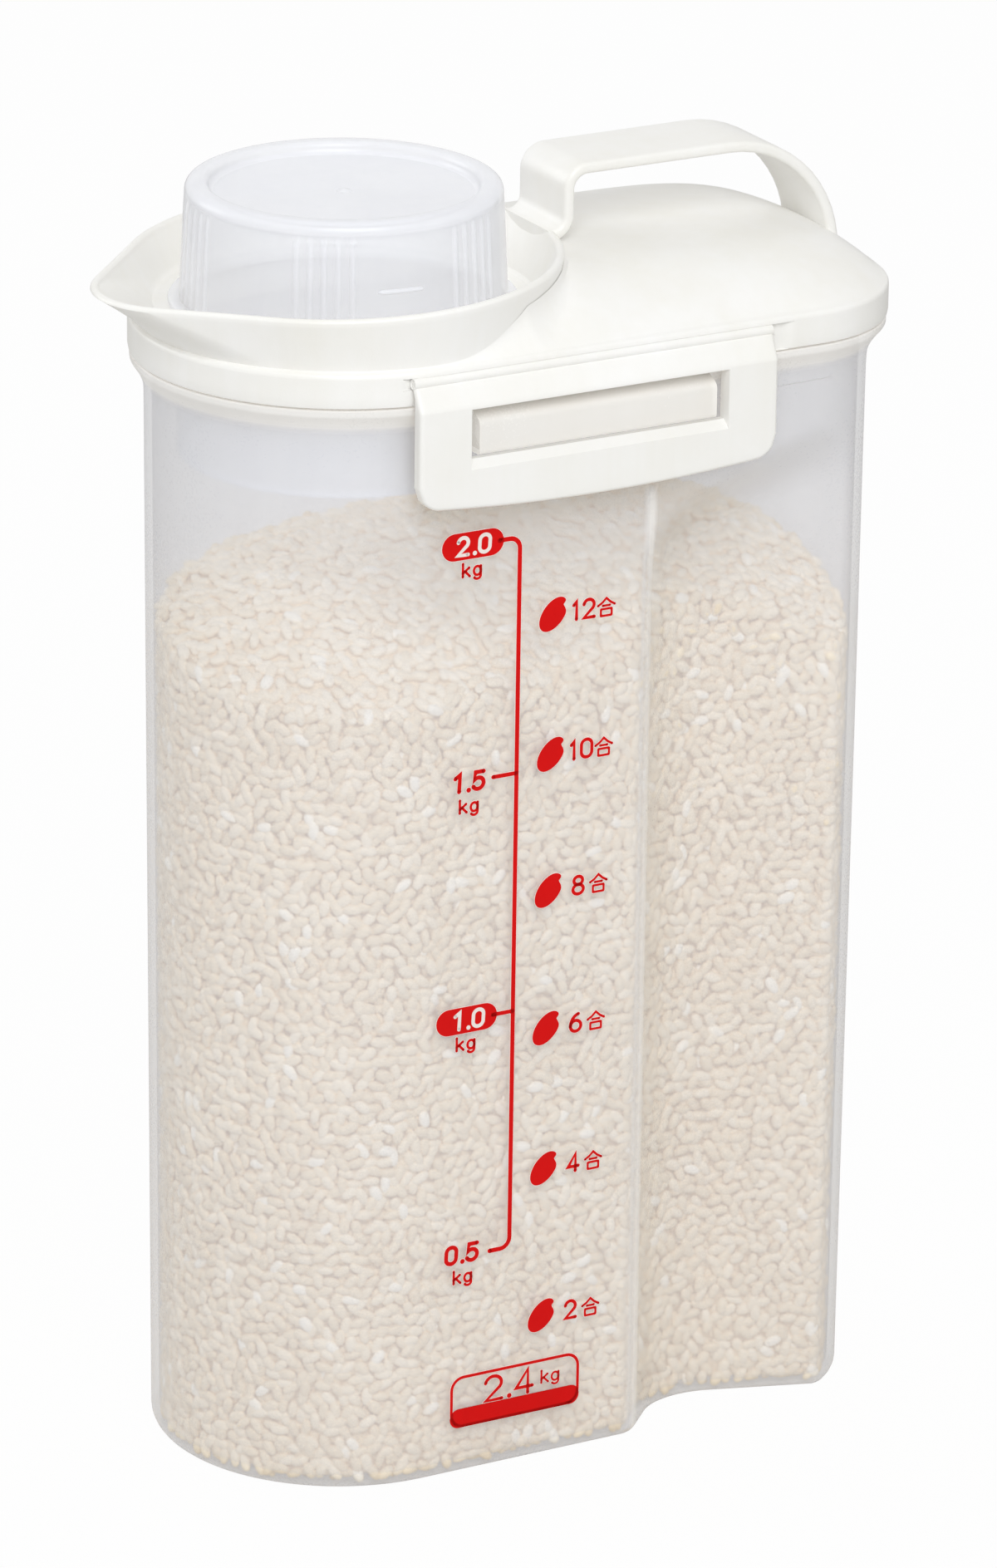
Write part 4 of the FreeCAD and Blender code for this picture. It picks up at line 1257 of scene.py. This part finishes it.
front_centre, front_normal = wall_lattice(3.1, 2.6, 1.10, 1.9)
deep_centre, deep_normal = wall_lattice(3.1, 2.7, 2.3, 2.9)
print("grains at the wall", len(front_centre), "and behind them", len(deep_centre))

# %% Places on the heap
jitter_flat = 1.1


def heap_lattice(step):
    """Centres on top of the heap: a square lattice, jittered, kept where it lies inside the drawn-in wall."""
    line = inner_line(1.4)[0]
    x, y = np.meshgrid(np.arange(line[:, 0].min(), line[:, 0].max(), step), np.arange(-45.0, 45.0, step))
    x = (x + dice.uniform(-jitter_flat, jitter_flat, x.shape)).ravel()
    y = (y + dice.uniform(-jitter_flat, jitter_flat, y.shape)).ravel()
    upper = line[line[:, 1] > 0]
    upper = upper[np.argsort(upper[:, 0])]
    keep = np.abs(y) < np.interp(x, upper[:, 0], upper[:, 1], left=0.0, right=0.0)
    x, y = x[keep], y[keep]
    slope_x = heap(x + 0.5, y) - heap(x - 0.5, y)
    slope_y = heap(x, y + 0.5) - heap(x, y - 0.5)
    normal = np.stack([-slope_x, -slope_y, np.ones_like(x)], axis=-1)
    normal = normal / np.linalg.norm(normal, axis=1, keepdims=True)
    return np.stack([x, y, heap(x, y) + dice.uniform(-1.0, 0.3, len(x))], axis=-1), normal


top_centre, top_normal = heap_lattice(2.6)
print("grains on the heap", len(top_centre))

# %% Lay the grains
grains_in_piece = 2900
chalky_share, chalky_tone = 0.04, 0.85


def rice_pieces(name, form, faces, centre, normal, lean_spread, tone_low, tone_high):
    """Pieces of at most a few thousand grains, each grain with its own tint number."""
    tone = dice.uniform(tone_low, tone_high, len(centre))
    tone = np.where(dice.random(len(centre)) < chalky_share, chalky_tone, tone)
    parts = np.array_split(np.arange(len(centre)), math.ceil(len(centre) / grains_in_piece))
    for number, part in enumerate(parts):
        placed, corners = scatter(form, faces, centre[part], normal[part], lean_spread)
        mesh = fill_mesh(f"{name}_{number + 1}", placed, corners, crease=180.0)
        mark(mesh, "kernel", np.repeat(tone[part], len(form)))
        add_piece(mesh, rice_finish, "container", "rice_grain")


# The layers' tint ranges differ. The deep layer is darker, as painted shade behind the front grains, and the heap
# is paler, as painted light on its top. Within a layer the tint is random.
rice_pieces("rice_wall", *fine_grain, front_centre, front_normal, 0.12, 0.12, 0.60)
rice_pieces("rice_deep", *plain_grain, deep_centre, deep_normal, 0.20, 0.08, 0.40)
rice_pieces("rice_heap", *fine_grain, top_centre, top_normal, 0.16, 0.35, 0.75)

# %% [markdown]
# ## The printed scale
# A red scale is printed on the flat near side: kilograms on the left of a line, rice measures on the right,
# each with a grain mark, and a framed field at the foot. Ink has a real, if tiny, thickness, so each mark
# is a thin solid laid on the wall: ribbons along a path, filled outlines, and figures drawn as strokes.
# A pale edge, as the print has, is the same mark made a little fatter and laid underneath.


# %% Ribbons and filled shapes
def ribbon(path, width, rise, closed=False):
    """A flat band along a path: a four-cornered section carried along it, mitred by the mean direction."""
    path = np.array(path, float)
    ahead = np.roll(path, -1, axis=0) - path
    behind = path - np.roll(path, 1, axis=0)
    if not closed:
        ahead[-1], behind[0] = behind[-1], ahead[0]
    ahead = ahead / np.linalg.norm(ahead, axis=1, keepdims=True)
    behind = behind / np.linalg.norm(behind, axis=1, keepdims=True)
    mean = ahead + behind
    mean = mean / np.linalg.norm(mean, axis=1, keepdims=True)
    side = np.stack([-mean[:, 1], mean[:, 0]], axis=-1)
    reach = width / 2 / np.maximum((mean * ahead).sum(axis=1, keepdims=True), 0.5)
    left, right = path + side * reach, path - side * reach
    low, high = np.zeros(len(path)), np.full(len(path), rise)
    points = np.stack([np.c_[left, low], np.c_[right, low], np.c_[right, high], np.c_[left, high]], axis=1)
    quads = grid_quads(len(path), 4, ring_rows=closed)
    faces = np.concatenate([quads[:, [0, 2, 1]], quads[:, [0, 3, 2]]])
    if not closed:
        last = (len(path) - 1) * 4
        start_faces = np.array([[0, 2, 1], [0, 3, 2]])
        end_faces = np.array([[0, 1, 2], [0, 2, 3]]) + last
        faces = np.concatenate([faces, start_faces, end_faces])
    return points.reshape(-1, 3), faces


def filled(loop, rise):
    """A flat shape from a counter-clockwise outline that can be seen whole from its middle."""
    loop = np.array(loop, float)
    count = len(loop)
    points = np.concatenate([np.c_[loop, np.zeros(count)], np.c_[loop, np.full(count, rise)],
                             [[*loop.mean(axis=0), 0.0], [*loop.mean(axis=0), rise]]])
    low, high = np.arange(count), np.arange(count) + count
    sides = strip(low, high)
    faces = np.concatenate([sides[:, [0, 1, 2]], sides[:, [0, 2, 3]],
                            fan(low, 2 * count, outward=False), fan(high, 2 * count + 1)])
    return points, faces


print("a straight ribbon has", len(ribbon([(0.0, 0.0), (1.0, 0.0)], 0.1, 0.1)[1]), "faces")


# %% Boxes, arcs and strokes
def rounded_box(x, z, width, height, radius, steps=8):
    """A rectangle with round corners as a counter-clockwise loop."""
    turn = np.linspace(0.0, np.pi / 2, steps)
    loop = []
    for quarter_turn, (across, rise) in enumerate(((1, 1), (-1, 1), (-1, -1), (1, -1))):
        middle = np.array([x + across * (width / 2 - radius), z + rise * (height / 2 - radius)])
        angle = turn + quarter_turn * np.pi / 2
        loop.append(middle + radius * np.stack([np.cos(angle), np.sin(angle)], axis=-1))
    return np.concatenate(loop)


def swept(x, z, across, rise, start, end, steps=16):
    """Points on an ellipse from one angle to another, in degrees."""
    turn = np.radians(np.linspace(start, end, steps))
    return np.stack([x + across * np.cos(turn), z + rise * np.sin(turn)], axis=-1)


def dot(x, z, radius, rise):
    """A round dot."""
    return filled(swept(x, z, radius, radius, 0.0, 340.0, 18), rise)


def stroke(path, width, rise, closed=False):
    """A ribbon whose open ends are round: a dot is laid on each."""
    marks = [ribbon(path, width, rise, closed)]
    if not closed:
        marks += [dot(*end, width / 2, rise) for end in (path[0], path[-1])]
    return marks


def lay_on_wall(name, marks, material):
    """Join thin solids and stand them on the near side: their height becomes distance from the wall."""
    counts = np.cumsum([0] + [len(points) for points, faces in marks])
    flat = np.concatenate([points for points, faces in marks])
    corners = np.concatenate([faces + first for (points, faces), first in zip(marks, counts)])
    stood = np.stack([flat[:, 0], -(half_width - lean(flat[:, 1])) - flat[:, 2], flat[:, 1]], axis=-1)
    add_piece(fill_mesh(name, stood, corners), material, "container", "scale_ink")


print("a short stroke is", len(stroke(np.array([(0.0, 0.0), (1.0, 0.0)]), 0.1, 0.1)), "solids")

# %% [markdown]
# The figures are plain ones of even stroke. A font would do, but few strokes are needed, and drawn as arcs
# and lines they stay ribbons like the rest, so they can be made bolder, fatter or slanted at will.

# %% Figures and letters as strokes
figures = {
    "0": [(rounded_box(0.30, 0.50, 0.60, 1.0, 0.299), True)],
    "1": [(np.array([(0.05, 0.80), (0.27, 1.0), (0.27, 0.0)]), False)],
    "2": [(np.concatenate([swept(0.30, 0.70, 0.28, 0.30, 170.0, -38.0), [(0.03, 0.0), (0.60, 0.0)]]), False)],
    "4": [(np.array([(0.46, 0.0), (0.46, 1.0), (0.0, 0.27), (0.64, 0.27)]), False)],
    "5": [(np.concatenate([[(0.55, 1.0), (0.12, 1.0), (0.07, 0.53)],
                           swept(0.29, 0.33, 0.29, 0.33, 128.0, -150.0)]), False)],
    "6": [(swept(0.30, 0.31, 0.29, 0.31, 0.0, 345.0, 24), True),
          (swept(0.56, 0.33, 0.55, 0.67, 180.0, 102.0), False)],
    "8": [(swept(0.30, 0.27, 0.30, 0.27, 0.0, 345.0, 24), True),
          (swept(0.30, 0.77, 0.25, 0.23, 0.0, 345.0, 24), True)],
    "k": [(np.array([(0.04, 0.0), (0.04, 1.0)]), False), (np.array([(0.44, 0.66), (0.04, 0.28)]), False),
          (np.array([(0.18, 0.41), (0.48, 0.0)]), False)],
    "g": [(swept(0.27, 0.34, 0.25, 0.33, 0.0, 345.0, 24), True),
          (np.concatenate([[(0.52, 0.68)], swept(0.27, -0.04, 0.25, 0.24, 0.0, -150.0)]), False)]}


def figure(sign, x, z, height, width, thick, rise, slant=0.0):
    """One figure of a height and width with its middle at a place, as strokes of one thickness."""
    paths = figures[sign]
    every_point = np.concatenate([path for path, closed in paths])
    middle = (every_point[:, 0].min() + every_point[:, 0].max()) / 2
    wide = every_point[:, 0].max() - every_point[:, 0].min()
    marks = []
    for path, closed in paths:
        local = np.stack([(path[:, 0] - middle) * (width - thick) / wide,
                          (path[:, 1] - 0.5) * (height - thick)], axis=-1)
        local[:, 0] += slant * local[:, 1]
        marks += stroke(local + (x, z), thick, rise, closed)
    return marks


print("figures", list(figures))

# %% Grain mark, measure sign and pill
pill_x, pill_width, pill_height = -24.2, 15.2, 6.2
grain_slant = math.radians(50.0)
grain_long, grain_wide = 4.40, 2.75
bite_turn, bite_spread, bite_deep = -0.58, 0.30, 0.58
sign_stroke = 0.54


def grain_mark(x, z, grow):
    """A slanted grain: an ellipse with a bite out of its right side near the tip, where the germ was."""
    turn = np.linspace(-np.pi, np.pi, 60, endpoint=False)
    bite = bite_deep * np.exp(-((turn - bite_turn) / bite_spread) ** 2)
    along = (grain_long + grow) * np.cos(turn) * (1.0 - 0.25 * bite)
    across = (grain_wide + grow) * np.sin(turn) * (1.0 - bite)
    return np.stack([x + along * math.cos(grain_slant) - across * math.sin(grain_slant),
                     z + along * math.sin(grain_slant) + across * math.cos(grain_slant)], axis=-1)


def measure_sign(x, z, fatter, rise):
    """The sign of the rice measure in strokes: a roof, a bar and a box."""
    roof = np.array([(-2.1, 0.30), (-1.0, 0.95), (0.0, 1.9), (1.0, 0.95), (2.1, 0.30)])
    under = np.array([(-0.9, 0.2), (0.9, 0.2)])
    box = rounded_box(0.0, -1.35, 2.7, 1.55, 0.12, 3)
    thick = sign_stroke + 2 * fatter
    return (stroke(roof + (x, z), thick, rise) + stroke(under + (x, z), thick, rise)
            + stroke(box + (x, z), thick, rise, True))


def pill_mark(z, fatter, rise):
    """A pill with round ends about the place of a figure."""
    radius = pill_height / 2 + fatter - 0.01
    return filled(rounded_box(pill_x, z, pill_width + 2 * fatter, pill_height + 2 * fatter, radius), rise)


print("solids in a measure sign", len(measure_sign(0.0, 0.0, 0.0, 0.1)))

# %% Kilogram figures and units
bold_height, bold_width, bold_stroke = 4.9, 3.5, 0.98
unit_height, unit_width, unit_stroke = 3.6, 2.3, 0.60


def fat_figure(sign, x, z, height, width, thick, fatter, rise, slant=0.0):
    """A figure made fatter by an amount all round."""
    return figure(sign, x, z, height + 2 * fatter, width + 2 * fatter, thick + 2 * fatter, rise, slant)


def kilogram_figures(label, x, z, fatter, rise):
    """A bold slanted figure, a point and another figure."""
    first, second = label.split(".")
    first_width = bold_width * (0.6 if first == "1" else 1.0)
    return (fat_figure(first, x - 2.7, z, bold_height, first_width, bold_stroke, fatter, rise, 0.05)
            + [dot(x + 0.15, z - bold_height / 2 + 0.55, 0.58 + fatter, rise)]
            + fat_figure(second, x + 2.6, z, bold_height, bold_width, bold_stroke, fatter, rise, 0.05))


def unit_letters(x, z, height, thick, fatter, rise):
    """The unit in thin letters."""
    width = height * unit_width / unit_height
    apart = 0.375 * height
    return (fat_figure("k", x - apart, z, height, width, thick, fatter, rise)
            + fat_figure("g", x + apart, z, height, width, thick, fatter, rise))


print("solids in a kilogram figure", len(kilogram_figures("1.5", 0.0, 0.0, 0.0, 0.1)))

# %% The line and its ticks
kilogram_z = {"2.0": 220.4, "1.5": 166.0, "1.0": 110.2, "0.5": 54.3}
spine_x, spine_width, spine_bend = -12.6, 1.05, 2.4
spine_foot = kilogram_z["0.5"] - 0.7
foot_end_x, tick_end_x = -17.6, -18.4
pill_end_x = pill_x + pill_width / 2 - 1.0


def spine_marks(fatter, rise):
    """The upright line with its round corners, and the ticks to the kilograms between."""
    top, width = kilogram_z["2.0"], spine_width + 2 * fatter
    corner_x = spine_x - spine_bend
    spine = np.concatenate([[(pill_end_x, top)],
                            swept(corner_x, top - spine_bend, spine_bend, spine_bend, 90.0, 0.0, 8),
                            swept(corner_x, spine_foot + spine_bend, spine_bend, spine_bend, 0.0, -90.0, 8),
                            [(foot_end_x, spine_foot)]])
    marks = stroke(spine, width, rise)
    for z, end_x in ((kilogram_z["1.5"] + 0.1, tick_end_x), (kilogram_z["1.0"], pill_end_x)):
        marks += stroke(np.array([(spine_x, z), (end_x, z)]), width - 0.1, rise)
    return marks


print("solids in the line and its ticks", len(spine_marks(0.0, 0.1)))

# %% Kilograms and measures
figure_height, figure_width, figure_stroke = 4.9, 3.4, 0.78
kilogram_x, unit_x, unit_drop = -24.6, -24.4, 5.5
measure_z = {"2": 35.2, "4": 70.9, "6": 104.5, "8": 137.1, "10": 169.0, "12": 201.4}
grain_x = -4.0


def kilogram_marks(fatter, rise):
    """Kilograms on the left: a pill for the whole ones, figures for the halves, and the unit below each."""
    marks = []
    for label, z in kilogram_z.items():
        if label.endswith("0"):
            marks.append(pill_mark(z, fatter, rise))
        else:
            marks += kilogram_figures(label, kilogram_x, z, fatter, rise)
        marks += unit_letters(unit_x, z - unit_drop, unit_height, unit_stroke, fatter, rise)
    return marks


def measure_marks(fatter, rise):
    """Rice measures on the right: a grain mark, one or two figures and the measure's sign."""
    marks = []
    for label, z in measure_z.items():
        marks.append(filled(grain_mark(grain_x, z, fatter), rise))
        places, sign_x = ((3.4,), 8.5) if len(label) == 1 else ((1.4, 4.9), 9.2)
        for sign, x in zip(label, places):
            width = 1.5 if sign == "1" else figure_width
            marks += fat_figure(sign, x, z, figure_height, width, figure_stroke, fatter, rise)
        marks += measure_sign(sign_x, z - 0.2, fatter, rise)
    return marks


print("kilogram marks", len(kilogram_z), "measure marks", len(measure_z))

# %% The field at the foot
badge_x, badge_z, badge_width, badge_height = -10.6, 18.2, 33.0, 12.6
badge_border, badge_corner = 0.7, 3.0
band_height, band_corner = 4.6, 2.2


def badge_marks(fatter, rise):
    """A framed field with a weight in it, over a plain band."""
    border_loop = rounded_box(
        badge_x, badge_z, badge_width - badge_border, badge_height - badge_border, badge_corner)
    marks = stroke(border_loop, badge_border + 2 * fatter, rise, True)
    band_z = badge_z - badge_height / 2 + band_height / 2
    marks.append(filled(rounded_box(badge_x, band_z, badge_width, band_height, band_corner), rise))
    for sign, x in (("2", -16.0), ("4", -8.2)):
        marks += fat_figure(sign, x, badge_z + 1.7, 6.6, 5.0, 0.82, fatter, rise)
    marks.append(dot(-12.0, badge_z - 1.0, 0.6 + fatter, rise))
    return marks + unit_letters(-1.6, badge_z + 1.9, 3.5, 0.50, fatter, rise)


print("solids in the field", len(badge_marks(0.0, 0.1)))

# %% Print the scale
ink_rise, edge_rise, numeral_rise = 0.09, 0.05, 0.14
edge_spread, numeral_spread = 0.12, -0.06
numeral_x = pill_x + 0.3
ink_scales = (3000.0, 120.0, 300.0)


def scale_marks(fatter, rise):
    """Every red mark of the scale, made fatter by an amount all round."""
    return (spine_marks(fatter, rise) + kilogram_marks(fatter, rise)
            + measure_marks(fatter, rise) + badge_marks(fatter, rise))


ink, ink_shader = skinned("red_ink", tint(212, 3, 3), tint(220, 5, 4), (0.45, 0.58), 0.00001, ink_scales)
pale_ink, pale_shader = skinned(
    "pale_ink", tint(238, 226, 220), tint(244, 235, 230), (0.34, 0.46), 0.00001, ink_scales)
ink_shader.inputs["Specular IOR Level"].default_value = 0.15
pale_shader.inputs["Specular IOR Level"].default_value = 0.25
lay_on_wall("scale_edge", scale_marks(edge_spread, edge_rise), pale_ink)
lay_on_wall("scale_marks", scale_marks(0.0, ink_rise), ink)
numerals = [solid for label in ("2.0", "1.0")
            for solid in kilogram_figures(label, numeral_x, kilogram_z[label], numeral_spread, numeral_rise)]
lay_on_wall("scale_numerals", numerals, pale_ink)

# %% [markdown]
# ## Floor, light and background
# A pale floor and soft light, as in a studio shot for a catalogue. The world lights from all round, and three
# wide lamps give it direction: a key from the upper left, a weak one overhead and one behind. A brighter
# world would also make a white background, but would bleach the bin, so only rays from the camera, from a
# gloss or through glass see plain white.

# %% The floor
floor_half, floor_drop = 4.0, 0.0004
floor_grey = 0.74
floor_white_share = 0.97
floor_mesh = bpy.data.meshes.new("studio_floor")
floor_corners = [(x * floor_half, y * floor_half, -floor_drop) for x, y in ((-1, -1), (1, -1), (1, 1), (-1, 1))]
floor_mesh.from_pydata(floor_corners, [], [(0, 1, 2, 3)])
floor_object = bpy.data.objects.new("studio_floor", floor_mesh)
bpy.context.scene.collection.objects.link(floor_object)
floor_finish = bpy.data.materials.new("studio_floor")
floor_finish.use_nodes = True
tree = floor_finish.node_tree
tree.nodes.clear()
matt = add_node(tree, "ShaderNodeBsdfDiffuse", {"Color": (floor_grey, floor_grey, floor_grey, 1.0)})
glow = add_node(tree, "ShaderNodeEmission", {"Strength": 1.0})
ray = add_node(tree, "ShaderNodeLightPath")
seen = add_node(tree, "ShaderNodeMath", {1: floor_white_share}, operation="MULTIPLY")
blend = add_node(tree, "ShaderNodeMixShader")
out = add_node(tree, "ShaderNodeOutputMaterial")
join(tree, (ray.outputs["Is Camera Ray"], seen.inputs[0]), (seen.outputs["Value"], blend.inputs[0]),
     (matt.outputs["BSDF"], blend.inputs[1]), (glow.outputs["Emission"], blend.inputs[2]),
     (blend.outputs["Shader"], out.inputs["Surface"]))
floor_mesh.materials.append(floor_finish)
print("floor", 2 * floor_half, "m wide")

# %% The world
world = bpy.data.worlds.new("studio")
bpy.context.scene.world = world
world.use_nodes = True
tree = world.node_tree
tree.nodes.clear()
ambient = add_node(tree, "ShaderNodeBackground", {"Color": (1.0, 0.985, 0.95, 1.0), "Strength": 0.50})
white = add_node(tree, "ShaderNodeBackground", {"Color": (1.0, 1.0, 1.0, 1.0), "Strength": 1.0})
ray = add_node(tree, "ShaderNodeLightPath")
either = add_node(tree, "ShaderNodeMath", operation="MAXIMUM")
any_seen = add_node(tree, "ShaderNodeMath", operation="MAXIMUM")
blend = add_node(tree, "ShaderNodeMixShader")
out = add_node(tree, "ShaderNodeOutputWorld")
join(tree, (ray.outputs["Is Camera Ray"], either.inputs[0]), (ray.outputs["Is Glossy Ray"], either.inputs[1]),
     (either.outputs["Value"], any_seen.inputs[0]), (ray.outputs["Is Transmission Ray"], any_seen.inputs[1]),
     (any_seen.outputs["Value"], blend.inputs[0]), (ambient.outputs["Background"], blend.inputs[1]),
     (white.outputs["Background"], blend.inputs[2]), (blend.outputs["Shader"], out.inputs["Surface"]))
print("world", world.name, len(tree.nodes), "nodes")

# %% The lamps
lamp_aim = Vector((0.0, 0.0, 0.15))
lamp_colour = (0.95, 0.975, 1.0)
for name, spot, size, power in (("key", (-0.50, -1.37, 1.37), 1.4, 20.5), ("top", (0.1, 0.5, 1.7), 1.2, 1.5),
                                ("back", (-1.1, 1.2, 0.8), 1.0, 6.0)):
    lamp_data = bpy.data.lights.new(name, "AREA")
    lamp_data.shape = "DISK"
    lamp_data.size = size
    lamp_data.energy = power
    lamp_data.color = lamp_colour
    lamp = bpy.data.objects.new(name, lamp_data)
    lamp.location = spot
    lamp.rotation_euler = (lamp_aim - Vector(spot)).to_track_quat("-Z", "Y").to_euler()
    bpy.context.scene.collection.objects.link(lamp)
print("lamps", [item.name for item in bpy.data.lights])
